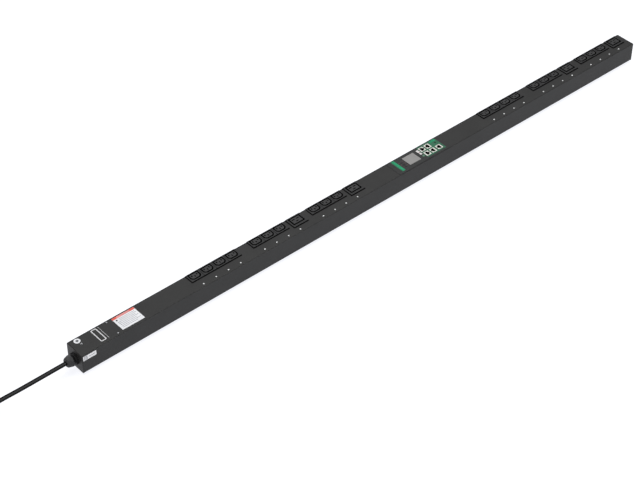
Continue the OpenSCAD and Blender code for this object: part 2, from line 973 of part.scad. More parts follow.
// A tube swept along the points of a route
module tube(path, d, sides = 10) {
    last = len(path) - 1;
    points = [for (i = [0:last]) each ring(path, i, d / 2, sides)];
    start = [for (k = [0:sides - 1]) k];
    end = [for (k = [sides - 1:-1:0]) last * sides + k];
    walls = [for (i = [0:last - 1]) for (k = [0:sides - 1])
        let (a = i * sides + k, b = i * sides + (k + 1) % sides)
        each [[a, a + sides, b + sides], [a, b + sides, b]]];
    polyhedron(points, concat([start], walls, [end]));
}

module cord_lead() {
    color("#141415") tube(lead_route, cord_d);
}

module cord_tail() {
    color("#141415") tube(tail_route, cord_d);
}

module stadium(r) {
    square([hank_straight, 2 * r], center = true);
    for (end = [-1, 1])
        translate([end * hank_straight / 2, 0]) circle(r, $fn = 64);
}

// The folded length of the cord: its turns fill a ring with straight sides
module cord_hank() {
    color("#141415")
        translate([hank_x, hank_y, hank_z])
            for (layer = [[cord_d, 3 * cord_d], [cord_d / 2, 3.87 * cord_d]])
                linear_extrude(layer[1])
                    difference() {
                        stadium(turn_r + layer[0]);
                        stadium(turn_r - layer[0]);
                    }
}

tie_t = 0.9;
tie_w = 16;

// A hook-and-loop strap round each side of the hank
module hank_ties() {
    inner = [2 * cord_d + 0.2, 3.87 * cord_d + 0.2];
    color("#2b2b30")
        for (side = [-1, 1])
            translate([hank_x - tie_w / 2, hank_y + side * turn_r, 0])
                rotate([90, 0, 90])
                    linear_extrude(tie_w)
                        difference() {
                            translate([-inner[0] / 2 - tie_t, 0])
                                square([inner[0] + 2 * tie_t, inner[1] + 2 * tie_t]);
                            translate([-inner[0] / 2, tie_t]) square(inner);
                        }
}

plug_x = -1370;
plug_z = plug_d / 2;
plug_base = 70;
shroud_d = 46;
shroud_in = 41;
shroud_end = 112;
pin_circle_r = 9.5;

// A round part of the plug between two distances from the plug's cord end
module plug_round(from, to, d1, d2 = 0) {
    translate([plug_x - from, 0, plug_z])
        rotate([0, -90, 0])
            cylinder(h = to - from, d1 = d1, d2 = d2 == 0 ? d1 : d2, $fn = fine);
}

module plug_cable_nut() {
    color("#1a1b1d")
        difference() {
            plug_round(0, 16, 20, 29);
            plug_round(-1, 17, cord_d + 0.9);
        }
}

module plug_body() {
    color("#2c62a8")
        difference() {
            union() {
                plug_round(16.1, 36, 31, shroud_d);
                plug_round(36, 60, shroud_d);
                plug_round(60, 68, plug_d);
                plug_round(68, shroud_end, shroud_d);
                block([plug_x - shroud_end, plug_x - 68], [-3, 3],
                    [plug_z + shroud_d / 2 - 1, plug_z + shroud_d / 2 + 2.5]);
            }
            plug_round(plug_base, shroud_end + 1, shroud_in);
            plug_round(15, 30, cord_d + 0.9);
        }
}

// Line and neutral pins and the thicker earth pin
module plug_pins() {
    color("#c8c9c6")
        for (pin = [[90, 7, 39], [210, 5, 37], [330, 5, 37]])
            translate([0, -pin_circle_r * cos(pin[0]), -pin_circle_r * sin(pin[0])]) {
                plug_round(plug_base, plug_base + pin[2] - 1, pin[1]);
                plug_round(plug_base + pin[2] - 1, plug_base + pin[2], pin[1], pin[1] - 1.6);
            }
}

rear_channel();
front_cover();
cover_brace();
end_cap_cord_side();
end_cap_far_side();
end_cap_screws();
cover_screws();
earth_screw();
mounting_buttons();
labels();
outlet_bank_1();
outlet_bank_2();
outlet_bank_3();
outlet_bank_4();
outlet_bank_5();
outlet_bank_6();
large_outlet_1();
large_outlet_2();
large_outlet_3();
large_outlet_4();
small_contacts();
large_contacts();
status_light_pipes();
outlet_boards();
relays();
busbars();
busbar_holders();
insulating_liner();
terminal_block();
current_sensor();
power_supply();
supply_wires();
controller_board();
display_board();
display_bezel();
panel_overlay();
lcd_panel();
lcd_window();
indicator_windows();
button_switches();
menu_button_1();
menu_button_2();
menu_button_3();
reset_button();
network_jack_1();
network_jack_2();
network_jack_3();
network_jack_4();
network_jack_5();
gland_body();
gland_locknut();
gland_seal();
gland_dome_nut();
cord_lead();
cord_tail();
cord_hank();
hank_ties();
plug_body();
plug_pins();
plug_cable_nut();
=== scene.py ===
"""Looks of a full-height rack power strip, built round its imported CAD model.

Sizes are in millimetres, in the CAD model's frame, until a mesh or curve is made: X along the
strip, away from the cord, Y towards the edge that holds the outlets, Z out of the outlets.
"""

import json
import math

import bmesh
import bpy
from mathutils import Matrix, Vector
from mathutils.geometry import tessellate_polygon


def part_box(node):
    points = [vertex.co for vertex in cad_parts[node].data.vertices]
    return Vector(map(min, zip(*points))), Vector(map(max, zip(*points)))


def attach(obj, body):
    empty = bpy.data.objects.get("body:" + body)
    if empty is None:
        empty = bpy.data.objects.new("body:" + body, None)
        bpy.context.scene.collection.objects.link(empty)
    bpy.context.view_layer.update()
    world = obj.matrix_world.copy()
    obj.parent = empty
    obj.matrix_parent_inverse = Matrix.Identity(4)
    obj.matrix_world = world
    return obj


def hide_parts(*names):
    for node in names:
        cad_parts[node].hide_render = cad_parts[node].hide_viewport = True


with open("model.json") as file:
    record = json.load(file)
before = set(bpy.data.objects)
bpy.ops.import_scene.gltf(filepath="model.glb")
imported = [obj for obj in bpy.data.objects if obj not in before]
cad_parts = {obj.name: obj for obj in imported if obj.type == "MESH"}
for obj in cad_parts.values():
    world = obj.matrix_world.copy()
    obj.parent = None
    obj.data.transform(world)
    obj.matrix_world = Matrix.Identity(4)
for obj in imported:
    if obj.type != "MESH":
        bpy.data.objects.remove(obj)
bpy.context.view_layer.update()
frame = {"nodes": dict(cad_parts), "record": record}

MM = 0.001
ROOT = "strip"
RECORD = frame["record"]


def box_mm(node):
    """A CAD node's lowest and highest corner, in millimetres."""
    low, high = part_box(node)
    return low / MM, high / MM


def footprint(node, gap=0.0):
    """The width, height and middle of a node seen from the front, grown by a gap."""
    low, high = box_mm(node)
    return (high.x - low.x + 2 * gap, high.y - low.y + 2 * gap,
            ((low.x + high.x) / 2, (low.y + high.y) / 2))


STRIP_LOW = box_mm("end_cap_cord_side")[0]
STRIP_HIGH = box_mm("end_cap_far_side")[1]
END_X = STRIP_LOW.x
Z_BACK = STRIP_LOW.z
Z_FACE = STRIP_HIGH.z
Z_MIDDLE = (Z_BACK + Z_FACE) / 2
Z_OUTLET = box_mm("outlet_bank_1")[1].z
Z_OVERLAY = box_mm("panel_overlay")[1].z


def from_end(x):
    """A distance from the strip's cord end as a place along X."""
    return END_X + x


def mounts_named(start):
    """The places of the mounts whose names start so, in millimetres."""
    return [Vector(m["pos_m"]) / MM for m in RECORD["mounts"] if m["name"].startswith(start)]


def added(name, data):
    """A new object of some data, in the scene."""
    made = bpy.data.objects.new(name, data)
    bpy.context.scene.collection.objects.link(made)
    return made


# ---- Camera ----

# In metres and degrees: the heading turns clockwise from +Y, and down is below the level
CAMERA_AT = (-2.3612, -2.4348, 2.823)
CAMERA_HEADING = 41.783
CAMERA_DOWN = 41.174
CAMERA_ROLL = 0.618
CAMERA_LENS = 102.005


def make_camera():
    data = bpy.data.cameras.new("camera")
    data.lens = CAMERA_LENS
    data.sensor_width = 36
    data.clip_end = 200
    camera = added("camera", data)
    turn = (Matrix.Rotation(math.radians(-CAMERA_HEADING), 4, "Z")
            @ Matrix.Rotation(math.radians(90 - CAMERA_DOWN), 4, "X")
            @ Matrix.Rotation(math.radians(CAMERA_ROLL), 4, "Z"))
    camera.matrix_world = Matrix.Translation(CAMERA_AT) @ turn
    bpy.context.scene.camera = camera


make_camera()

# ---- Materials ----


def linear(colour):
    """A colour of three 0 to 255 screen values as the shader's own."""
    return tuple(v / 255 / 12.92 if v < 10.3 else ((v / 255 + 0.055) / 1.055) ** 2.4
                 for v in colour) + (1,)


def scaled(colour, by):
    """The same, lighter or darker."""
    return tuple(min(1, v * by) for v in linear(colour)[:3]) + (1,)


BUMP_DISTANCE = 0.0003
# A wave texture of scale 1 runs through so many radians in a metre
WAVE_RADIANS = 20
# The places of the two colours among a Mix node's inputs, and of the mixed one among its outputs
MIX_IN = (6, 7)
MIX_OUT = 2


class Finish:
    """A node material: mottled colour, uneven gloss and a grain that bumps the surface."""

    def __init__(self, name, colour, rough, metallic=0.0, specular=0.5, mottle=(25, 0.1),
                 grain=(900, 0.15), rough_spread=0.06, stretch=(1, 1, 1), **sockets):
        self.material = bpy.data.materials.new(name)
        self.material.use_nodes = True
        self.nodes = self.material.node_tree.nodes
        self.shader = self.nodes["Principled BSDF"]
        self.shader.inputs["Metallic"].default_value = metallic
        self.shader.inputs["Specular IOR Level"].default_value = specular
        for socket, value in sockets.items():
            self.shader.inputs[socket.replace("_", " ")].default_value = value
        place = self.nodes.new("ShaderNodeTexCoord")
        squeeze = self.node("ShaderNodeMapping", Scale=stretch)
        self.link(place.outputs["Object"], squeeze.inputs["Vector"])
        self.place = squeeze.outputs["Vector"]
        broad = self.noise(mottle[0], 3)
        fine = self.noise(grain[0], 2)
        tone = self.spread(broad, 0, 1)
        self.colour = self.mix(tone, scaled(colour, 1 - mottle[1]), scaled(colour, 1 + mottle[1]))
        self.link(self.colour, self.shader.inputs["Base Color"])
        self.link(self.spread(fine, rough - rough_spread, rough + rough_spread),
                  self.shader.inputs["Roughness"])
        bump = self.node("ShaderNodeBump", Strength=grain[1], Distance=BUMP_DISTANCE)
        self.link(fine, bump.inputs["Height"])
        self.link(bump.outputs["Normal"], self.shader.inputs["Normal"])

    def node(self, kind, **values):
        made = self.nodes.new(kind)
        for socket, value in values.items():
            made.inputs[socket].default_value = value
        return made

    def link(self, source, target):
        self.material.node_tree.links.new(source, target)

    def noise(self, scale, detail):
        made = self.node("ShaderNodeTexNoise", Scale=scale, Detail=detail)
        self.link(self.place, made.inputs["Vector"])
        return made.outputs["Fac"]

    def spread(self, value, low, high, start=0.3, end=0.7):
        made = self.nodes.new("ShaderNodeMapRange")
        for socket, number in zip(("From Min", "From Max", "To Min", "To Max"),
                                  (start, end, low, high)):
            made.inputs[socket].default_value = number
        self.link(value, made.inputs["Value"])
        return made.outputs["Result"]

    def mix(self, factor, first, second):
        made = self.nodes.new("ShaderNodeMix")
        made.data_type = "RGBA"
        self.link(factor, made.inputs["Factor"])
        for place, value in zip(MIX_IN, (first, second)):
            if isinstance(value, bpy.types.NodeSocket):
                self.link(value, made.inputs[place])
            else:
                made.inputs[place].default_value = value
        return made.outputs[MIX_OUT]

    def painted_edge_highlight(self, colour, radius, amount):
        """Paints a highlight: a lighter colour where the surface turns within a radius in
        millimetres, in noisy patches.
        """
        bevel = self.node("ShaderNodeBevel", Radius=radius * MM)
        flat = self.nodes.new("ShaderNodeNewGeometry")
        dot = self.nodes.new("ShaderNodeVectorMath")
        dot.operation = "DOT_PRODUCT"
        self.link(bevel.outputs["Normal"], dot.inputs[0])
        self.link(flat.outputs["Normal"], dot.inputs[1])
        edge = self.spread(dot.outputs["Value"], amount, 0, 0.75, 0.98)
        patchy = self.node("ShaderNodeMath")
        patchy.operation = "MULTIPLY"
        self.link(edge, patchy.inputs[0])
        self.link(self.spread(self.noise(60, 2), 0.2, 1), patchy.inputs[1])
        self.colour = self.mix(patchy.outputs["Value"], self.colour, linear(colour))
        self.link(self.colour, self.shader.inputs["Base Color"])
        return self

    def stripes(self, pitch, colour, axes="XY", share=0.5):
        """Fine ruled lines a pitch apart in millimetres, across each named axis."""
        scale = 2 * math.pi / (pitch * MM) / WAVE_RADIANS
        for axis in axes:
            wave = self.node("ShaderNodeTexWave", Scale=scale, Distortion=0)
            wave.bands_direction = axis
            wave.wave_profile = "SIN"
            self.link(self.place, wave.inputs["Vector"])
            line = self.spread(wave.outputs["Fac"], 0, share, 0.75, 0.95)
            self.colour = self.mix(line, self.colour, linear(colour))
        self.link(self.colour, self.shader.inputs["Base Color"])
        return self


# Painted highlight: every powder coat gets a lighter colour painted along its edges
def powder_coat(name, colour, rough=0.5):
    return Finish(name, colour, rough, specular=0.2, mottle=(18, 0.07), grain=(1400, 0.28),
                  rough_spread=0.05).painted_edge_highlight((84, 84, 86), 0.5, 0.35).material


def plastic(name, colour, rough, grain=(1800, 0.12), **more):
    return Finish(name, colour, rough, grain=grain, **more).material


def metal(name, colour, rough, stretch=(1, 1, 1)):
    return Finish(name, colour, rough, metallic=1.0, mottle=(140, 0.08), grain=(1600, 0.1),
                  rough_spread=0.08, stretch=stretch).material


MAT = {
    "painted_steel": powder_coat("powder_coat", (48, 48, 48)),
    # Painted shade: the end plates take a darker copy of the body's powder coat
    "end_cap_steel": powder_coat("powder_coat_end_shaded", (39, 38, 38), 0.45),
    "outlet_plastic": plastic("outlet_face", (51, 51, 52), 0.55, specular=0.3),
    "outlet_pad": plastic("outlet_pad", (40, 40, 41), 0.55, specular=0.3),
    # Painted shade: near-black for the outlets' grooves, slots and flange edges, where the same
    # plastic lies in shade
    "outlet_dark": plastic("outlet_painted_shade", (5, 5, 5), 0.6, specular=0.06),
    "zinc_steel": metal("zinc_plate", (158, 159, 161), 0.42),
    "label_film": plastic("label_film", (218, 219, 222), 0.5, grain=(2500, 0.05)),
    "label_side": plastic("label_side", (250, 250, 251), 0.5, grain=(2500, 0.05)),
    "label_band": plastic("label_band", (208, 134, 132), 0.5, mottle=(60, 0.16)),
    "label_band_end": plastic("label_band_end", (212, 84, 68), 0.5, mottle=(120, 0.14)),
    "label_rule": plastic("label_rule", (140, 142, 147), 0.5),
    "label_dark": plastic("label_dark", (58, 58, 60), 0.5),
    "cover_print": plastic("cover_print", (196, 196, 198), 0.5, mottle=(200, 0.12)),
    "contact_brass": metal("contact_brass", (205, 170, 96), 0.3),
    "light_clear": plastic("light_lens", (214, 215, 216), 0.25, grain=(900, 0.04)),
    "circuit_board": Finish("circuit_board", (26, 92, 58), 0.4, mottle=(400, 0.25)).material,
    "relay_plastic": plastic("relay_case", (34, 35, 38), 0.45),
    "copper": metal("bar_copper", (214, 150, 112), 0.35, (1, 40, 1)),
    "insulator": plastic("insulator", (221, 214, 196), 0.6),
    "terminal_plastic": plastic("terminal_case", (196, 200, 203), 0.5),
    "sensor_blue": plastic("sensor_potting", (32, 58, 104), 0.35),
    "wire_cover": plastic("wire_cover", (96, 74, 52), 0.4),
    "bezel_plastic": plastic("panel_bezel", (46, 46, 47), 0.5, specular=0.3),
    "overlay_film": plastic("panel_film", (45, 46, 46), 0.45, specular=0.3),
    "print_green": plastic("print_green", (26, 132, 92), 0.45, mottle=(160, 0.16), specular=0.3),
    "print_green_dark": plastic("print_green_dark", (20, 92, 62), 0.45),
    "print_green_soft": plastic("print_green_soft", (44, 96, 72), 0.45, mottle=(90, 0.16),
                                specular=0.3),
    "print_green_light": plastic("print_green_light", (46, 150, 108), 0.45, specular=0.3),
    "print_rose": plastic("print_rose", (86, 62, 62), 0.5),
    "print_red": plastic("print_red", (150, 96, 92), 0.5),
    "lcd_glass": Finish("display_face", (150, 148, 147), 0.35, mottle=(40, 0.04))
        .stripes(2.8274, (138, 137, 136)).material,
    "window_clear": Finish("display_window", (134, 133, 132), 0.35, mottle=(30, 0.05)).material,
    "indicator_white": plastic("indicator_lens", (202, 200, 199), 0.3),
    "indicator_green": plastic("indicator_green", (88, 128, 104), 0.35),
    "key_plastic": plastic("key_cap", (52, 48, 49), 0.5, specular=0.3),
    "reset_plastic": plastic("reset_pin", (16, 17, 18), 0.4),
    "jack_shell": plastic("jack_frame", (200, 200, 193), 0.35, mottle=(90, 0.06)),
    "jack_wire": metal("jack_wire", (120, 98, 56), 0.4),
    "jack_dark": plastic("jack_mouth", (6, 6, 7), 0.5, specular=0.15),
    "gland_plastic": plastic("gland_black", (31, 31, 32), 0.45, mottle=(70, 0.12), specular=0.1),
    "gland_nut_plastic": plastic("gland_nut", (60, 60, 61), 0.45, mottle=(70, 0.1), specular=0.1),
    "rubber_black": plastic("seal_rubber", (14, 14, 14), 0.65, specular=0.25),
    "cord_jacket": Finish("cord_jacket", (4, 4, 4), 0.3, mottle=(60, 0.15), grain=(700, 0.1),
                          specular=0.06).material,
    "tie_fabric": Finish("tie_fabric", (34, 34, 38), 0.9, mottle=(900, 0.3), grain=(2600, 0.9))
        .stripes(5.6549, (22, 22, 25), "XZ", 0.6).material,
    "tie_stitch": Finish("tie_stitch", (78, 78, 84), 0.8, grain=(2600, 0.5)).material,
    "plug_blue": plastic("plug_blue", (34, 92, 168), 0.38, mottle=(40, 0.08)),
    "plug_black": plastic("plug_black", (27, 28, 30), 0.45),
    "plug_insert": plastic("plug_insert", (172, 174, 176), 0.5),
    "pin_metal": metal("pin_nickel", (214, 213, 208), 0.22),
    "floor": Finish("floor", (124, 124, 124), 0.9, specular=0.1, mottle=(3, 0.005),
                    grain=(200, 0.02), Emission_Color=(0.975, 0.985, 1.03, 1),
                    Emission_Strength=0.9).material,
}
for row in RECORD["subparts"]:
    cad_mesh = frame["nodes"][row["node"]].data
    cad_mesh.materials.clear()
    cad_mesh.materials.append(MAT[row["material_slot"]])

# ---- Shapes ----

# How many flat steps a rounded corner, a rounded edge and a round outline have
CORNER_STEPS = 4
EDGE_STEPS = 3
CIRCLE_STEPS = 32
# The radius that a rounded corner can't go below
LEAST_R = 0.02


class Shape:
    """Faces gathered in millimetres, each with the number of its material.

    turn places the faces that are added while it is set."""

    def __init__(self):
        self.turn = Matrix.Identity(4)
        self.points, self.faces = [], []

    def face(self, points, mark=0, smooth=True):
        placed = [self.turn @ Vector(p) for p in points]
        kept = [p for i, p in enumerate(placed) if p != placed[i - 1]]
        if len(kept) > 2:
            start = len(self.points)
            self.points += kept
            self.faces.append((range(start, start + len(kept)), mark, smooth))

    def loft(self, rings, mark=0, closed=False):
        """Walls between rings of as many points."""
        ends = rings[1:] + rings[:1] if closed else rings[1:]
        for low, high in zip(rings, ends):
            for i in range(len(low)):
                self.face([low[i - 1], low[i], high[i], high[i - 1]], mark)

    def fill(self, rings, mark=0):
        """A flat face inside the first ring and outside the others."""
        points = [p for ring in rings for p in ring]
        for corners in tessellate_polygon([[Vector(p) for p in ring] for ring in rings]):
            self.face([points[i] for i in corners], mark, False)

    def piece(self, name, materials, replaces=(), body=ROOT, sharp=35):
        """Makes the shape an object that rides on a body."""
        build = bmesh.new()
        corners = [build.verts.new(p * MM) for p in self.points]
        for face, mark, smooth in self.faces:
            made = build.faces.new([corners[i] for i in face])
            made.material_index, made.smooth = mark, smooth
        bmesh.ops.remove_doubles(build, verts=build.verts, dist=1e-6)
        bmesh.ops.recalc_face_normals(build, faces=build.faces)
        mesh = bpy.data.meshes.new(name)
        build.to_mesh(mesh)
        smooth = [face.smooth for face in build.faces]
        build.free()
        mesh.set_sharp_from_angle(angle=math.radians(sharp))
        mesh.polygons.foreach_set("use_smooth", smooth)
        return dressed(added(name, mesh), materials, replaces, body)


def dressed(made, materials, replaces=(), body=ROOT):
    for material in materials:
        made.data.materials.append(MAT[material])
    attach(made, body)
    if replaces:
        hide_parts(*replaces)
    return made


def rect(w, h):
    return [(-w / 2, -h / 2), (w / 2, -h / 2), (w / 2, h / 2), (-w / 2, h / 2)]


def cut_rect(w, h, cut):
    """A rectangle whose two corners on the low side are cut off."""
    return [(-w / 2, h / 2), (-w / 2, cut - h / 2), (cut - w / 2, -h / 2),
            (w / 2 - cut, -h / 2), (w / 2, cut - h / 2), (w / 2, h / 2)]


def outline(corners, radius, grow=0.0):
    """Points round a polygon, moved outwards by grow, with its corners rounded."""
    points = []
    for i, here in enumerate(corners):
        before, after = Vector(corners[i - 1]), Vector(corners[(i + 1) % len(corners)])
        here = Vector(here)
        u, v = (here - before).normalized(), (after - here).normalized()
        out_u, out_v = Vector((u.y, -u.x)), Vector((v.y, -v.x))
        bend = math.atan2(u.x * v.y - u.y * v.x, u.dot(v))
        side = 1 if bend > 0 else -1
        corner = here + (out_u + out_v) * (grow / (1 + out_u.dot(out_v)))
        r = max(radius + side * grow, LEAST_R)
        centre = corner - u * (r * math.tan(abs(bend) / 2)) - out_u * (side * r)
        for k in range(CORNER_STEPS + 1):
            arm = Matrix.Rotation(bend * k / CORNER_STEPS, 2) @ out_u
            points.append(centre + arm * (side * r))
    return points


def ring(corners, radius, at, z, grow=0.0):
    return [(at[0] + p.x, at[1] + p.y, z) for p in outline(corners, radius, grow)]


def rim(corners, radius, at, z, r, hole=False):
    """Rings of a rounded edge, from the flat face at height z, out or in, and down by r."""
    side = -1 if hole else 1
    rings = []
    for k in range(EDGE_STEPS + 1):
        t = math.radians(90 * k / EDGE_STEPS)
        grow = side * r * (math.sin(t) - 1)
        rings.append(ring(corners, radius, at, z - r * (1 - math.cos(t)), grow))
    return rings


def plate(shape, corners, radius, at, z, edge, marks=(0, 0, 0), holes=()):
    """A flat plate between two heights, with a rounded upper edge and holes through it.

    marks number the top, the outer wall and the holes' walls. A hole is its corners, its radius
    and its place."""
    top, wall, inside = marks
    upper = rim(corners, radius, at, z[1], edge)
    lower = ring(corners, radius, at, z[0])
    shape.loft(upper, top)
    shape.loft([upper[-1], lower], wall)
    tops, bottoms = [upper[0]], [lower]
    for hole, hole_r, hole_at in holes:
        mouth = rim(hole, hole_r, hole_at, z[1], edge, hole=True)
        foot = ring(hole, hole_r, hole_at, z[0])
        shape.loft(mouth, top)
        shape.loft([mouth[-1], foot], inside)
        tops.append(mouth[0])
        bottoms.append(foot)
    shape.fill(tops, top)
    shape.fill(bottoms, wall)


def axes(at, x, y, z):
    """A placement at a point, with its own three axes."""
    turn = Matrix((x, y, z)).transposed().to_4x4()
    turn.translation = at
    return turn


def turned(shape, profile, at, axis="Z", steps=40, mark=0, closed=False, trim=None):
    """A turned form: profile holds (radius, height) pairs, and trim changes a radius by angle."""
    rings = []
    for r, h in profile:
        points = []
        for k in range(steps):
            a = 2 * math.pi * k / steps
            rr = trim(a, r, h) if trim else r
            c, s = rr * math.cos(a), rr * math.sin(a)
            points.append((at[0] + c, at[1] + s, at[2] + h) if axis == "Z"
                          else (at[0] - h, at[1] + c, at[2] + s))
        rings.append(points)
    shape.loft(rings, mark, closed)


def rounded_profile(points, r):
    """A profile with each inner corner of its line rounded."""
    made = [points[0]]
    for before, here, after in zip(points, points[1:], points[2:]):
        a, b, c = Vector(before), Vector(here), Vector(after)
        cut = min(r, (b - a).length * 0.45, (c - b).length * 0.45)
        start, end = b + (a - b).normalized() * cut, b + (c - b).normalized() * cut
        for k in range(EDGE_STEPS + 1):
            t = k / EDGE_STEPS
            p = start * (1 - t) ** 2 + b * (2 * t * (1 - t)) + end * t ** 2
            made.append((p.x, p.y))
    return made + [points[-1]]


# ---- Supply cord ----

CORD_D = 10
LEAD_ROUTE = [(-876, 0, 32), (-896, 0, 32), (-920, 0, 32), (-945, 0, 32), (-970, 0, 31.8),
              (-995, 0, 31.6), (-1020, 0, 31.5), (-1045, 0, 31.6), (-1070, 0, 32.2),
              (-1090, -1, 33.4), (-1110, -5, 35), (-1130, -12, 36), (-1150, -18, 35.2)]
TAIL_ROUTE = [(-1240, -23, 6), (-1265, -23, 6), (-1290, -22, 7), (-1310, -18, 10.5),
              (-1330, -10.5, 16.5), (-1350, -3.5, 22.5), (-1370, 0, 25.6), (-1385, 0, 26)]
ROUTE_STEPS = 4
HANK_AT = (-1195, 20)
HANK_STRAIGHT = 90
HANK_R = 38
# The radius and height of each turn's place in the hank, from the top to the bottom
HANK_TURNS = [(38, 34.7), (33, 26), (43, 26), (43, 16), (33, 16), (33, 6), (43, 6)]
LAST_TURN = len(HANK_TURNS) - 1
# The share of a turn that one straight run takes
HANK_LEG = HANK_STRAIGHT / (2 * HANK_STRAIGHT + 2 * math.pi * HANK_R)
# In turns: where the cord first changes place, how long a change is and how far apart they start
FIRST_CHANGE = 0.74
TURN_CHANGE = 0.2
CHANGE_SPACING = (HANK_LEG + LAST_TURN - 1 - FIRST_CHANGE) / (LAST_TURN - 1)
TURN_STEPS = 72
# How far the top turn keeps in and up at its first change, and up where it lies over the second
FIRST_IN = 1.032
FIRST_UP = 0.6
PASS_UP = 1.2


def ease(t):
    return t * t * (3 - 2 * t)


def bump(since):
    """A smooth rise to 1 and back, over the time that one change of place takes."""
    return math.sin(math.pi * since / TURN_CHANGE) ** 2 if 0 < since < TURN_CHANGE else 0


def hank_point(turn):
    """A place on the hank after so many turns, which start on the low-Y side."""
    since = turn - FIRST_CHANGE
    k = min(max(math.floor(since / CHANGE_SPACING), 0), LAST_TURN - 1)
    share = ease(min(max((since - k * CHANGE_SPACING) / TURN_CHANGE, 0), 1))
    r, z = (a + (b - a) * share for a, b in zip(HANK_TURNS[k], HANK_TURNS[k + 1]))
    r -= FIRST_IN * bump(since)
    z += FIRST_UP * bump(since) + PASS_UP * bump(since - CHANGE_SPACING + 1)
    # Each half turn is a straight run and then a fold, on the low-Y side or on the other
    side, p = (1, turn % 1) if turn % 1 < 0.5 else (-1, turn % 1 - 0.5)
    half = HANK_STRAIGHT / 2
    if p < HANK_LEG:
        x, y = half - HANK_STRAIGHT * p / HANK_LEG, -r
    else:
        a = math.pi * (p - HANK_LEG) / (0.5 - HANK_LEG)
        x, y = -half - r * math.sin(a), -r * math.cos(a)
    return HANK_AT[0] + side * x, HANK_AT[1] + side * y, z


def smoothed(points, per_span):
    """A smooth line through points, with so many steps between each two."""
    line = []
    for i in range(len(points) - 1):
        a, b, c, d = (Vector(points[min(max(j, 0), len(points) - 1)]) for j in range(i - 1, i + 3))
        for k in range(per_span):
            t = k / per_span
            line.append(b + 0.5 * t * (c - a + t * (2 * a - 5 * b + 4 * c - d
                                                    + t * (3 * (b - c) + d - a))))
    return line + [Vector(points[-1])]


def make_cord():
    end = LAST_TURN + HANK_LEG
    steps = round(end * TURN_STEPS)
    hank = [Vector(hank_point(end * k / steps)) for k in range(1, steps)]
    route = smoothed(LEAD_ROUTE, ROUTE_STEPS) + hank + smoothed(TAIL_ROUTE, ROUTE_STEPS)
    data = bpy.data.curves.new("supply_cord", "CURVE")
    data.dimensions = "3D"
    data.bevel_depth = CORD_D / 2 * MM
    data.bevel_resolution = 6
    data.use_fill_caps = True
    spline = data.splines.new("POLY")
    spline.points.add(len(route) - 1)
    for point, place in zip(spline.points, route):
        point.co = (*(place * MM), 1)
    return dressed(added("supply_cord", data), ["cord_jacket"],
                   ["cord_lead", "cord_hank", "cord_tail"])


supply_cord = make_cord()

# ---- Pieces on the cord ----

GLAND_AT = (END_X, 0, Z_MIDDLE)
# Widths across the flats of the gland's flange and of its nut
HEX_FLANGE = 26.6
HEX_NUT = 25.4
THREADS = 8
THREAD_PITCH = 1.1


def hexagon(flats, from_r=0.0):
    """A trim that cuts a turned form to a hexagon, outside a radius."""
    def trim(a, r, h):
        limit = flats / 2 / math.cos((a + math.pi / 6) % (math.pi / 3) - math.pi / 6)
        return min(r, limit) if r > from_r else r
    return trim


def flutes(count, depth, start, end):
    """A trim that presses grooves into a turned form between two heights."""
    def trim(a, r, h):
        wave = max(0, math.cos(count * a)) ** 0.5
        return r - depth * wave if start < h < end else r
    return trim


def make_gland_body():
    thread = []
    for k in range(THREADS):
        h = 6 + k * THREAD_PITCH
        thread += [(9.05, h), (9.45, h + 0.35), (9.45, h + 0.6), (9.05, h + 0.95)]
    profile = [(6.9, -10.4), (9.6, -10.4), (10, -10), (10, 0), (14.6, 0), (15.2, 0.6), (15.2, 4.6),
               (14.2, 5.4), (12.4, 5.5), (9.3, 5.5)] + thread + [(8.8, 14.95), (6.9, 14.95)]
    shape = Shape()
    turned(shape, profile, GLAND_AT, "X", 72, closed=True, trim=hexagon(HEX_FLANGE, 11))
    return shape.piece("gland_base", ["gland_plastic"], ["gland_body"])


def make_gland_nut():
    outer = rounded_profile([(9.7, 9.6), (13.2, 9.6), (14.4, 10.6), (14.4, 12.6), (11.6, 22.2),
                             (9.8, 24.2), (8.2, 24.45), (6.0, 24.45), (5.55, 23.9), (5.55, 21)], 0.7)
    shape = Shape()
    turned(shape, outer + [(7, 21), (9.7, 17)], GLAND_AT, "X", 96, closed=True,
           trim=hexagon(HEX_NUT, 9.9))
    return shape.piece("gland_nut", ["gland_nut_plastic"], ["gland_dome_nut"], sharp=28)


NUT_LOW, NUT_HIGH = box_mm("plug_cable_nut")
PLUG_AT = (NUT_HIGH.x, 0, (NUT_LOW.z + NUT_HIGH.z) / 2)
PIN_CIRCLE = 9.5
# Each pin's angle, diameter and length: earth at the bottom, then line and neutral
PINS = [(90, 7, 39), (210, 5, 37), (330, 5, 37)]
PLUG_BASE = 70
INSERT_T = 1.6


def make_plug_nut():
    profile = rounded_profile([(5.5, 0.1), (9.8, 0.1), (12.6, 6), (14.3, 15.8), (9, 15.8)], 0.8)
    shape = Shape()
    turned(shape, [(5.5, 15.8)] + profile, PLUG_AT, "X", 96, closed=True,
           trim=flutes(16, 0.55, 2.5, 15))
    return shape.piece("plug_nut", ["plug_black"], ["plug_cable_nut"])


def make_plug_body():
    outer = rounded_profile([(5.5, 16.2), (14.6, 16.2), (15.6, 17.4), (22.9, 36), (22.9, 59.8),
                             (25.2, 60.1), (26, 61), (26, 67.2), (25.2, 67.9), (22.9, 68.1),
                             (22.9, 100), (22.9, 111.9), (20.6, 111.9), (20.6, PLUG_BASE)], 0.8)
    shape = Shape()
    turned(shape, [(0, 30), (5.5, 30)] + outer + [(0, PLUG_BASE)], PLUG_AT, "X", 120,
           trim=flutes(20, 0.9, 36.5, 59))
    shape.turn = axes(PLUG_AT, (-1, 0, 0), (0, -1, 0), (0, 0, 1))
    plate(shape, rect(43, 5.6), 1.2, (90, 0), (22.4, 25.4), 0.6)
    return shape.piece("plug_shell", ["plug_blue"], ["plug_body"])


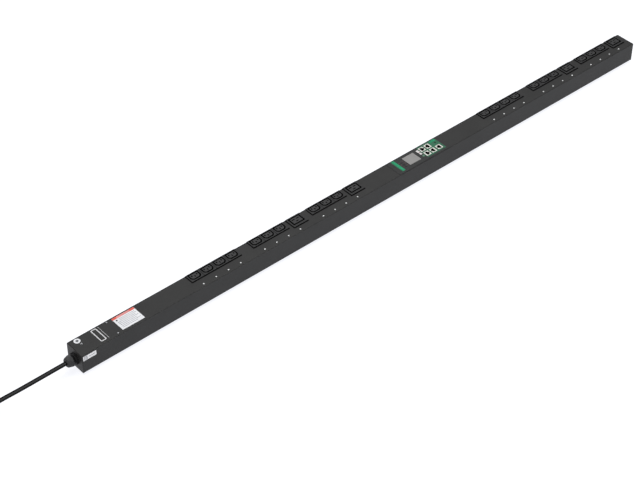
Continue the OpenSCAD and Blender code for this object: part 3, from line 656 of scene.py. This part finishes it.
def make_plug_insert():
    """The raised face that the pins stand in."""
    shape = Shape()
    top = PLUG_BASE + INSERT_T
    profile = rounded_profile([(0, PLUG_BASE), (19.8, PLUG_BASE), (19.8, top), (17.6, top),
                               (17, top - 0.5), (16.2, top), (0, top)], 0.25)
    turned(shape, profile, PLUG_AT, "X", 64)
    return shape.piece("plug_insert", ["plug_insert"])


def make_plug_pins():
    shape = Shape()
    for angle, d, length in PINS:
        a = math.radians(angle)
        at = (PLUG_AT[0], -PIN_CIRCLE * math.cos(a), PLUG_AT[2] - PIN_CIRCLE * math.sin(a))
        r = d / 2
        tip = PLUG_BASE + length
        profile = [(0, PLUG_BASE), (r + 0.9, PLUG_BASE), (r + 0.9, PLUG_BASE + 2.3),
                   (r, PLUG_BASE + 2.5), (r, tip - 1.6), (r - 0.35, tip - 0.6), (r - 1.1, tip),
                   (0, tip)]
        turned(shape, profile, at, "X", 28)
    return shape.piece("plug_pin_set", ["pin_metal"], ["plug_pins"])


TIE_W = 16
TIE_T = 0.8
# Half of the width that a tie goes round
TIE_REACH = 10.1
STITCH = 1


def make_ties():
    """A hook-and-loop strap round each side of the hank, with its end lapped over."""
    section = [(-TIE_REACH, 0), (TIE_REACH, 0), (TIE_REACH, 31.2), (5, 39.8), (-5, 39.8),
               (-TIE_REACH, 31.2)]
    shape = Shape()
    for side in (-1, 1):
        def lap(corners, radius, x, grow=0.0):
            return [(HANK_AT[0] + x, HANK_AT[1] + side * HANK_R + p.x, p.y + TIE_T)
                    for p in outline(corners, radius, grow)]
        half = TIE_W / 2
        edge = 0.25
        rings = [lap(section, 3, -half, 0.02), lap(section, 3, -half, TIE_T - edge),
                 lap(section, 3, edge - half, TIE_T), lap(section, 3, half - edge, TIE_T),
                 lap(section, 3, half, TIE_T - edge), lap(section, 3, half, 0.02)]
        shape.loft(rings, 0, closed=True)
        shape.turn = axes((HANK_AT[0], HANK_AT[1] + side * (HANK_R + TIE_REACH), 0),
                          (1, 0, 0), (0, 0, side), (0, side, 0))
        plate(shape, rect(15, 15), 2, (0, side * 17), (TIE_T - 0.1, TIE_T + 0.05), 0.1)
        for z in (11.5, 22.5):
            plate(shape, rect(12.6, 0.5), 0.1, (0, side * z), (TIE_T, TIE_T + 0.08), 0.05,
                  (STITCH,) * 3)
        shape.turn = Matrix.Identity(4)
    return shape.piece("hank_tie_straps", ["tie_fabric", "tie_stitch"], ["hank_ties"])


gland_base = make_gland_body()
gland_nut = make_gland_nut()
on_the_cord = [make_ties(), make_plug_nut(), make_plug_body(), make_plug_insert(),
               make_plug_pins(), gland_base, gland_nut, "gland_seal"]

# ---- Enclosure ----

HALF_W = STRIP_HIGH.y
CAP_T = 2.5
CAP_R = 1.6
LUG = (12, 44)
LUG_Z = (Z_BACK + 1.25, Z_BACK + 8.2)
GLAND_HOLE = 20.4
# The width and the arm of a screw's cross recess, as shares of the head's diameter
RECESS_W = 0.55
RECESS_ARM = 0.13
WASHER_T = 0.8


def round_hole(d, at):
    """A hole for plate whose corners are rounded until they all but meet."""
    return rect(d, d), d / 2 - 0.01, at


def round_ring(r, at, z):
    """The corners of a round outline at a height."""
    turns = [2 * math.pi * k / CIRCLE_STEPS for k in range(CIRCLE_STEPS)]
    return [(at[0] + r * math.cos(a), at[1] + r * math.sin(a), z) for a in turns]


def make_end_cap(node, side):
    """An end plate with rounded edges, and the lug that its screws hold."""
    shape = Shape()
    inner = side * (STRIP_HIGH.x - CAP_T)
    shape.turn = axes((inner, 0, Z_MIDDLE), (0, 1, 0), (0, 0, 1), (side, 0, 0))
    holes = [round_hole(GLAND_HOLE, (0, 0))] if side < 0 else []
    plate(shape, rect(2 * HALF_W, Z_FACE - Z_BACK), CAP_R, (0, 0), (0, CAP_T), 0.5, holes=holes)
    shape.turn = Matrix.Identity(4)
    plate(shape, rect(*LUG), 1, (inner - side * LUG[0] / 2, 0), LUG_Z, 0.4)
    return shape.piece(node + "_plate", ["end_cap_steel"], [node])


for cap_node, cap_side in (("end_cap_cord_side", -1), ("end_cap_far_side", 1)):
    make_end_cap(cap_node, cap_side)


def cross(w, arm):
    """The corners of a cross of a width, with arms so thick."""
    a, b = arm / 2, w / 2
    quarter = [(a, a), (a, b), (-a, b)]
    return [(x * math.cos(t) - y * math.sin(t), x * math.sin(t) + y * math.cos(t))
            for t in (math.pi / 2 * k for k in range(4)) for x, y in quarter]


def screw_head(shape, at, d, h):
    """A pan head with a cross recess."""
    r = d / 2
    sides = [(r - 0.1, 0), (r, 0.12), (r, h * 0.5), (r * 0.93, h * 0.74), (r * 0.8, h * 0.91),
             (r * 0.62, h)]
    rings = [round_ring(rr, at, at[2] + z) for rr, z in sides]
    shape.loft(rings)
    recess = cross(d * RECESS_W, d * RECESS_ARM)
    mouth = [(at[0] + x, at[1] + y, at[2] + h) for x, y in recess]
    floor = [(at[0] + x * 0.75, at[1] + y * 0.75, at[2] + h * 0.4) for x, y in recess]
    shape.fill([rings[-1], mouth])
    shape.loft([mouth, floor])
    shape.fill([floor])
    shape.fill([rings[0]])


def make_screws():
    low, high = box_mm("cover_screws")
    shape = Shape()
    d = high.x - low.x
    for y in (low.y + d / 2, high.y - d / 2):
        screw_head(shape, ((low.x + high.x) / 2, y, Z_FACE), d, high.z - Z_FACE)
    shape.piece("cover_screw_heads", ["zinc_steel"], ["cover_screws"])


def make_earth_screw():
    """A screw head on a washer."""
    x, y = footprint("earth_screw")[2]
    top = box_mm("earth_screw")[1].z
    shape = Shape()
    turned(shape, [(2, 0), (3.2, 0), (3.2, WASHER_T - 0.18), (3.02, WASHER_T), (2, WASHER_T)],
           (x, y, Z_FACE), closed=True)
    screw_head(shape, (x, y, Z_FACE + WASHER_T), 5.2, top - Z_FACE - WASHER_T)
    shape.piece("earth_screw_head", ["zinc_steel"], ["earth_screw"])


make_screws()
make_earth_screw()

# ---- Labels and printing ----

LABEL_T = 0.15
PRINT_T = 0.05
# The height of a second layer of ink, and how far ink starts below the surface it is on
OVERPRINT_T = 0.08
SINK = 0.01
PRINT_EDGE = 0.02
LABEL_MATERIALS = ["label_film", "label_band", "label_band_end", "label_rule", "label_dark",
                   "label_side"]
FILM, BAND, BAND_END, RULE, DARK, SIDE = range(6)


def printed(shape, x, y, z, mark=0, radius=0.1):
    """A film or a layer of ink between two heights."""
    w, h = x[1] - x[0], y[1] - y[0]
    plate(shape, rect(w, h), min(radius, w / 2.2, h / 2.2), (x[0] + w / 2, y[0] + h / 2), z,
          PRINT_EDGE, (mark,) * 3)


def make_labels():
    """The rating label, the ring round the earth screw and the label on the side, all blank."""
    shape = Shape()
    x0, x1 = from_end(117), from_end(177.5)
    top = Z_FACE + LABEL_T
    ink = (top - SINK, top + PRINT_T)
    over = (top, top + OVERPRINT_T)
    printed(shape, (x0, x1), (-19.6, 24.3), (Z_FACE, top), FILM, 1)
    printed(shape, (x0, x1), (17.8, 24.3), ink, BAND, 0.8)
    for start, end in ((0.4, 12), (47, 59)):
        printed(shape, (x0 + start, x0 + end), (18.1, 24), over, BAND_END, 0.6)
    printed(shape, (x0 + 5, x0 + 9), (10.5, 15), ink, DARK, 1.2)
    for y, start, end in ((14, 14, 55), (9.6, 14, 57), (5, 5, 52), (0.4, 5, 57), (-4.2, 5, 50),
                          (-8.8, 5, 57), (-13.4, 5, 46)):
        printed(shape, (x0 + start, x0 + end), (y - 0.7, y + 0.7), ink, RULE)
    at = (from_end(20.5), 17.6, Z_FACE)
    for mark, inner, outer, low, high in ((FILM, 2.2, 7.6, 0, LABEL_T),
                                          (RULE, 2.25, 3.8, LABEL_T - SINK, LABEL_T + PRINT_T)):
        turned(shape, [(inner, low), (outer, low), (outer, high), (inner, high)], at, steps=56,
               mark=mark, closed=True)
    shape.turn = axes((0, -HALF_W, Z_BACK), (1, 0, 0), (0, 0, 1), (0, -1, 0))
    printed(shape, (from_end(3.2), from_end(38)), (35, 47.6), (0, LABEL_T), SIDE, 1)
    ink = (LABEL_T - 0.05, LABEL_T + 0.02)
    printed(shape, (from_end(17), from_end(35)), (40.4, 42), ink, RULE)
    for x, w in ((6, 1.8), (9, 1.4), (11.6, 2.6)):
        printed(shape, (from_end(x), from_end(x + w)), (36, 46.6), ink, RULE)
    shape.piece("sticker_films", LABEL_MATERIALS, ["labels"])


def make_cover_print():
    """A plain blank nameplate frame and a rule beside it."""
    shape = Shape()
    ink = (Z_FACE - 2 * SINK, Z_FACE + PRINT_T)
    at = (from_end(67), 2.5)
    plate(shape, rect(15, 43), 3, at, ink, PRINT_EDGE, holes=[(rect(10.2, 38.2), 1.6, at)])
    printed(shape, (from_end(79.8), from_end(80.5)), (-19, 24), ink)
    shape.piece("cover_printing", ["cover_print"])


make_labels()
make_cover_print()

# ---- Outlets ----

GROOVE_Z = Z_OUTLET - 17
SOCKET_Z = Z_FACE - 22
FLANGE_TOP = Z_OUTLET - 0.55
# The second material, outlet_dark, is near-black painted shade for grooves, slots and round each
# flange
OUTLET_MATERIALS = ["outlet_plastic", "outlet_dark", "outlet_pad"]
FACE, PAINTED_SHADE, PAD = range(3)
# How much of a flange's length each kind of outlet takes, and how much smaller its pad is
SMALL_SHARE = 36
LARGE_SHARE = 43
PAD_GAP = 0.7
# How much smaller the body behind a flange is, and how far below the flange's middle its own is
BODY_LESS = (3.2, 3.5)
BODY_SHIFT = 0.15
LEAD_IN = 1.1
SLOT_R = 0.3
SLOT_EDGE = 0.25
# How far a near-black band, a painted shadow line, shows round a flange, its thickness, and how far
# below the middle it lies
SHADOW_BAND_W = 1.1
SHADOW_BAND_T = 0.35
SHADOW_BAND_SHIFT = 0.3


class Socket:
    """The mouth of one kind of outlet: its groove, its core and its slots."""

    def __init__(self, groove, groove_r, core, core_r, slots, slot):
        self.groove, self.groove_r = groove, groove_r
        self.core, self.core_r = core, core_r
        self.slots, self.slot = slots, slot

    def hole(self, at):
        return self.groove, self.groove_r, at

    def cut(self, shape, at, top_z):
        """Makes the walls and floors of a mouth. Gives the rings that it leaves open in the body's
        top and in its foot."""
        mouth = ring(self.groove, self.groove_r, at, top_z)
        floor = ring(self.groove, self.groove_r, at, GROOVE_Z)
        core = rim(self.core, self.core_r, at, Z_OUTLET, LEAD_IN)
        foot = ring(self.core, self.core_r, at, GROOVE_Z)
        # The groove's and the slots' walls and floors take the painted shade
        shape.loft([mouth, floor], PAINTED_SHADE)
        shape.fill([floor, foot], PAINTED_SHADE)
        shape.loft(core, PAINTED_SHADE)
        shape.loft([core[-1], foot], PAINTED_SHADE)
        tops, bottoms = [core[0]], []
        for x, y in self.slots:
            place = (at[0] + x, at[1] + y)
            lips = rim(self.slot, SLOT_R, place, Z_OUTLET, SLOT_EDGE, hole=True)
            shape.loft(lips, FACE)
            bottoms.append(ring(self.slot, SLOT_R, place, SOCKET_Z))
            shape.loft([lips[-1], bottoms[-1]], PAINTED_SHADE)
            tops.append(lips[0])
        shape.fill(tops, FACE)
        return mouth, bottoms


SMALL = Socket(cut_rect(29, 21.3, 6), 1.6, cut_rect(24.4, 16.2, 4.6), 1.2,
               [(-7, 2.6), (7, 2.6), (0, -1.4)], rect(2.8, 5.2))
LARGE = Socket(rect(34, 25), 2, rect(28.6, 19.8), 1.4,
               [(-6.5, 4), (6.5, 4), (0, -4)], rect(8, 2.8))


def make_moulding(node, kind, places, share):
    """A flange with a raised pad round each mouth, a near-black band round it as a painted shadow
    line, and a body in the strip.
    """
    w, h, middle = footprint(node)
    shape = Shape()
    holes = [kind.hole((p.x, p.y)) for p in places]
    # The flange's margin and walls, the pads' walls and the body take the painted shade
    shade_marks = (PAINTED_SHADE,) * 3
    plate(shape, rect(w, h), 0.8, middle, (Z_FACE, FLANGE_TOP), 0.3, shade_marks, holes)
    # Painted shadow: a near-black band round the flange, shifted to the low-Y side
    plate(shape, rect(w + 2 * SHADOW_BAND_W, h + 2 * SHADOW_BAND_W), 1.2,
          (middle[0], middle[1] - SHADOW_BAND_SHIFT), (Z_FACE, Z_FACE + SHADOW_BAND_T), 0.1, shade_marks,
          [(rect(w - 1, h - 1), 0.5, middle)])
    for hole in holes:
        plate(shape, rect(share - PAD_GAP, h - PAD_GAP), 1, (hole[2][0], middle[1]),
              (FLANGE_TOP, Z_OUTLET), 0.35, (PAD, PAINTED_SHADE, PAINTED_SHADE), [hole])
    body = rect(w - BODY_LESS[0], h - BODY_LESS[1])
    body_at = (middle[0], middle[1] - BODY_SHIFT)
    upper, lower = (ring(body, 1, body_at, z) for z in (Z_FACE, SOCKET_Z))
    tops, bottoms = [upper], [lower]
    for p in places:
        mouth, feet = kind.cut(shape, (p.x, p.y), Z_FACE)
        tops.append(mouth)
        bottoms += feet
    shape.loft([upper, lower], PAINTED_SHADE)
    shape.fill(tops, PAINTED_SHADE)
    shape.fill(bottoms, PAINTED_SHADE)
    return shape.piece(node + "_moulding", OUTLET_MATERIALS, [node])


def within(places, node):
    """The places that lie over a node."""
    low, high = box_mm(node)
    return [p for p in places if low.x < p.x < high.x]


small_outlets = mounts_named("small_outlet")
large_outlets = mounts_named("large_outlet")
for n in range(1, 7):
    bank = f"outlet_bank_{n}"
    make_moulding(bank, SMALL, within(small_outlets, bank), SMALL_SHARE)
for n in range(1, 5):
    large = f"large_outlet_{n}"
    make_moulding(large, LARGE, within(large_outlets, large), LARGE_SHARE)

# How far a large outlet's light lies from the outlet's middle, towards the cord
LARGE_SHIFT = 13
LIGHT_Y = -18.4
LIGHT_R = 1.9
LIGHT_RISE = 0.8
# The collar that holds a lens under the cover
COLLAR_R = 3
COLLAR_Z = (Z_FACE - 2.4, Z_FACE - 1.3)


def make_lights():
    """A lens over each outlet's lamp, proud of the cover by a dome."""
    foot = box_mm("status_light_pipes")[0].z
    low, high = COLLAR_Z
    dome = [(LIGHT_R * math.cos(a), Z_FACE + 0.1 + LIGHT_RISE * math.sin(a))
            for a in (math.radians(k) for k in range(90, -1, -18))]
    profile = dome + [(LIGHT_R, high), (COLLAR_R, high), (COLLAR_R, low), (LIGHT_R, low),
                      (LIGHT_R, foot), (0, foot)]
    shape = Shape()
    for x in [p.x for p in small_outlets] + [p.x - LARGE_SHIFT for p in large_outlets]:
        turned(shape, profile, (x, LIGHT_Y, 0), steps=24)
    shape.piece("status_lenses", ["light_clear"], ["status_light_pipes"])


make_lights()

# ---- Panel ----

PANEL_W, PANEL_H, PANEL_MIDDLE = footprint("display_bezel")
PANEL_Z = box_mm("display_bezel")[0].z
JACK_NODES = [f"network_jack_{k}" for k in range(1, 6)]
MENU_NODES = [f"menu_button_{k}" for k in range(1, 4)]
# The part of the bezel below the cover's face: how far in from its ends, and how wide
BEZEL_LIP = 2.2
BEZEL_BODY = 47.6
# How high the buttons' collars reach, under the bezel
COLLAR_TOP = PANEL_Z - 0.1
MENU_HOLE = 7.2
MENU_R = 3.3
RESET_HOLE = 4
RESET_R = 1.6
# How far an opening stands off a jack or the display window, and off an indicator window
JACK_GAP = 0.2
INDICATOR_GAP = 0.1
# The two ends of each indicator window along Y, and of all of them along X
INDICATORS = [(7.1, 16.9), (-1.9, 4.9), (-10.9, -6.1)]
INDICATOR_X = (from_end(1036.4), from_end(1042.6))
PRINT_MATERIALS = ["print_green", "print_green_dark", "print_green_light", "print_green_soft",
                   "print_rose", "print_red"]
GREEN, GREEN_DARK, GREEN_LIGHT, GREEN_SOFT, ROSE, RED = range(6)


def rect_hole(w, h, at, r=0.5):
    return rect(w, h), r, at


def jack_holes():
    return [rect_hole(*footprint(n, JACK_GAP)) for n in JACK_NODES]


def panel_holes():
    """The openings that the bezel and its film share."""
    holes = [round_hole(MENU_HOLE, footprint(n)[2]) for n in MENU_NODES]
    holes.append(round_hole(RESET_HOLE, footprint("reset_button")[2]))
    holes.append(rect_hole(*footprint("lcd_window", JACK_GAP)))
    w = INDICATOR_X[1] - INDICATOR_X[0] + 2 * INDICATOR_GAP
    for low, high in INDICATORS:
        holes.append(rect_hole(w, high - low + 2 * INDICATOR_GAP,
                               (sum(INDICATOR_X) / 2, (low + high) / 2), 0.3))
    return holes + jack_holes()


def make_panel():
    """The bezel, with a part inside the cover, and the printed film on it."""
    holes = panel_holes()
    bezel = Shape()
    film_z = box_mm("panel_overlay")[0].z
    plate(bezel, rect(PANEL_W, PANEL_H), 1, PANEL_MIDDLE, (Z_FACE, film_z), 0.25, holes=holes)
    plate(bezel, rect(PANEL_W - 2 * BEZEL_LIP, BEZEL_BODY), 1, PANEL_MIDDLE, (PANEL_Z, Z_FACE),
          0.05, holes=holes)
    bezel.piece("panel_frame", ["bezel_plastic"], ["display_bezel"])
    film = Shape()
    plate(film, rect(PANEL_W - 2, PANEL_H - 2), 1.5, PANEL_MIDDLE, (film_z, Z_OVERLAY), 0.08,
          holes=holes)
    film.piece("panel_film", ["overlay_film"], ["panel_overlay"])


def make_panel_print():
    """The panel's green fields and small marks. Jacks and reset button keep their openings."""
    shape = Shape()
    ink = (Z_OVERLAY - SINK, Z_OVERLAY + PRINT_T)
    over = (Z_OVERLAY, Z_OVERLAY + OVERPRINT_T)
    plate(shape, rect(10, 44), 1.5, (from_end(963.5), 2), ink, PRINT_EDGE)
    printed(shape, (from_end(958.7), from_end(960.5)), (-19.5, 23.5), over, GREEN_DARK)
    for y, r in ((15, 1.1), (9, 0.7), (2, 1.2), (-4, 0.8), (-11, 1.3), (-16, 0.8)):
        printed(shape, (from_end(962.5), from_end(962.5 + 2.6 * r)), (y - r, y + r), over,
                GREEN_LIGHT, 0.6)
    holes = jack_holes()
    holes.append(rect_hole(RESET_HOLE + 0.6, RESET_HOLE + 0.6, footprint("reset_button")[2], 2.2))
    plate(shape, rect(62, 43.5), 2, (from_end(1075), 2.25), ink, PRINT_EDGE,
          (GREEN_SOFT,) * 3, holes)
    printed(shape, (from_end(1086), from_end(1104)), (16.5, 23.5), over, GREEN, 0.8)
    for y in (12, 3, -6):
        printed(shape, (from_end(984.6), from_end(986.2)), (y - 5, y - 1), over, ROSE)
        printed(shape, (from_end(971.5), from_end(974)), (y - 4.4, y - 2), over, ROSE)
    printed(shape, (INDICATOR_X[0] + 1, INDICATOR_X[1] - 1), (5.4, 6.6), over, RED)
    shape.piece("panel_printing", PRINT_MATERIALS)


def make_window():
    low, high = box_mm("lcd_window")
    w, h, at = footprint("lcd_window")
    shape = Shape()
    plate(shape, rect(w, h), 0.5, at, (low.z, high.z - 0.12), 0.15)
    shape.piece("display_window", ["window_clear"], ["lcd_window"])


def make_indicators():
    """Three windows, of which the last is green."""
    low, high = box_mm("indicator_windows")
    shape = Shape()
    for mark, (y0, y1) in zip((0, 0, 1), INDICATORS):
        plate(shape, rect(INDICATOR_X[1] - INDICATOR_X[0], y1 - y0), 0.3,
              (sum(INDICATOR_X) / 2, (y0 + y1) / 2), (low.z, high.z), 0.3, (mark,) * 3)
    shape.piece("indicator_lenses", ["indicator_white", "indicator_green"], ["indicator_windows"])


def body_of(node):
    """The body of the record that a node belongs to."""
    return next(body for body, nodes in RECORD["behaviour"]["bodies"].items() if node in nodes)


def button_profile(head, r, collar_r, collar_t, stem_r, foot):
    """A button's outline from its head down: its side, its collar under the bezel and its stem."""
    under = COLLAR_TOP - collar_t
    return head + [(r, COLLAR_TOP), (collar_r, COLLAR_TOP), (collar_r, under), (stem_r, under),
                   (stem_r, foot), (0, foot)]


def make_menu_buttons():
    """Round buttons with a shallow dish in the top."""
    for node in MENU_NODES:
        low, high = box_mm(node)
        top = high.z
        dish = [(MENU_R * 0.72 * math.sin(a), top - 0.28 + 0.14 * (1 - math.cos(a)))
                for a in (math.radians(k) for k in range(0, 91, 15))]
        head = dish + [(MENU_R * 0.8, top), (MENU_R - 0.25, top - 0.04), (MENU_R, top - 0.3)]
        shape = Shape()
        turned(shape, button_profile(head, MENU_R, 4.2, 1.4, 1.5, low.z),
               (*footprint(node)[2], 0))
        shape.piece(node + "_cap", ["key_plastic"], [node], body_of(node))


def make_reset():
    """A pin with a dimple in the top."""
    node = "reset_button"
    low, high = box_mm(node)
    top = high.z
    head = [(0, top - 0.5), (0.5, top - 0.42), (0.9, top), (RESET_R - 0.2, top),
            (RESET_R, top - 0.25)]
    shape = Shape()
    turned(shape, button_profile(head, RESET_R, 2.8, 1.6, 1.2, low.z),
           (*footprint(node)[2], 0), steps=32)
    shape.piece("reset_pin", ["reset_plastic"], [node], body_of(node))


# Half of the mouth's outline, from its flat side towards the latch notch
MOUTH = [(-4, 5.9), (3, 5.9), (3, 3.1), (4.6, 3.1), (4.6, 1.9), (6.2, 1.9)]
MOUTH_DEPTH = 14
MOUTH_R = 0.05
JACK_R = 0.7
WIRES = 8
WIRE_PITCH = 1.02
JACK_MATERIALS = ["jack_shell", "jack_dark", "jack_wire"]
SHELL, MOUTH_WALL, WIRE = range(3)


def make_jacks():
    """A frame round each mouth. The record's opening tells which side the latch notch is on."""
    corners = [(x, -y) for x, y in MOUTH] + MOUTH[::-1]
    openings = {o["name"]: o["box_m"] for o in RECORD["physics"]["openings"]}
    for k, node in enumerate(JACK_NODES, 1):
        low, high = box_mm(node)
        w, h, at = footprint(node)
        box = openings[f"network_port_{k}"]
        side = 1 if (box[0][0] + box[1][0]) / 2 / MM < at[0] else -1
        shape = Shape()
        shape.turn = Matrix.Translation((*at, 0)) @ Matrix.Diagonal((side, 1, 1, 1))
        floor = high.z - MOUTH_DEPTH
        edge = 0.25
        outer = rim(rect(w, h), JACK_R, (0, 0), high.z, edge)
        foot = ring(rect(w, h), JACK_R, (0, 0), low.z)
        mouth = rim(corners, MOUTH_R, (0, 0), high.z, edge, hole=True)
        depth = ring(corners, MOUTH_R, (0, 0), floor)
        shape.loft(outer + [foot], SHELL)
        shape.loft(mouth, SHELL)
        shape.loft([mouth[-1], depth], MOUTH_WALL)
        shape.fill([outer[0], mouth[0]], SHELL)
        shape.fill([depth], MOUTH_WALL)
        shape.fill([foot], SHELL)
        for n in range(WIRES):
            y = (n - (WIRES - 1) / 2) * WIRE_PITCH
            bent = [(-3.9, high.z - 3), (-3.5, high.z - 3), (-1.2, floor + 2.5), (-1.6, floor + 2.5)]
            near, far = ([(x, y + d, z) for x, z in bent] for d in (-0.22, 0.22))
            shape.loft([near, far], WIRE)
            shape.face(near, WIRE)
            shape.face(far, WIRE)
        shape.piece(node + "_socket", JACK_MATERIALS, [node])


make_panel()
make_panel_print()
make_window()
make_indicators()
make_menu_buttons()
make_reset()
make_jacks()

# ---- Studio ----

# In metres
FLOOR_SIDE = 60


def make_floor():
    half = FLOOR_SIDE / 2
    mesh = bpy.data.meshes.new("floor")
    mesh.from_pydata([(-half, -half, 0), (half, -half, 0), (half, half, 0), (-half, half, 0)], [],
                     [(0, 1, 2, 3)])
    floor = added("floor", mesh)
    floor.data.materials.append(MAT["floor"])


def area_light(name, at, towards, size, power):
    data = bpy.data.lights.new(name, "AREA")
    data.shape = "RECTANGLE"
    data.size, data.size_y = size
    data.energy = power
    light = added(name, data)
    light.location = at
    light.rotation_euler = (Vector(towards) - Vector(at)).to_track_quat("-Z", "Y").to_euler()
    return light


def make_studio():
    """A sky that is bright at the horizon and dimmer above, and two lamps."""
    world = bpy.data.worlds.new("studio")
    bpy.context.scene.world = world
    world.use_nodes = True
    sky = world.node_tree.nodes["Background"]
    sky.inputs["Color"].default_value = (1, 1, 1, 1)
    place, split, fade = (world.node_tree.nodes.new("ShaderNode" + kind)
                          for kind in ("TexCoord", "SeparateXYZ", "MapRange"))
    for socket, value in (("From Min", 0.05), ("From Max", 0.3), ("To Min", 1), ("To Max", 0.2)):
        fade.inputs[socket].default_value = value
    link = world.node_tree.links.new
    link(place.outputs["Generated"], split.inputs["Vector"])
    link(split.outputs["Z"], fade.inputs["Value"])
    link(fade.outputs["Result"], sky.inputs["Strength"])
    area_light("overhead", at=(0, 0.3, 3.4), towards=(0, 0, 0), size=(5, 2.2), power=162)
    # A lamp beside the cord that lights only the cord, as a gloss line along it
    gloss = area_light("gloss", at=(-0.94, -0.2, 0.245), towards=(-1.03, -0.01, 0.033),
                       size=(0.6, 0.4), power=6.5)
    gloss.visible_camera = False
    gloss.visible_diffuse = False
    lit = bpy.data.collections.new("gloss_pieces")
    lit.objects.link(supply_cord)
    gloss.light_linking.receiver_collection = lit
    bpy.context.scene.view_settings.view_transform = "Standard"


make_floor()
make_studio()
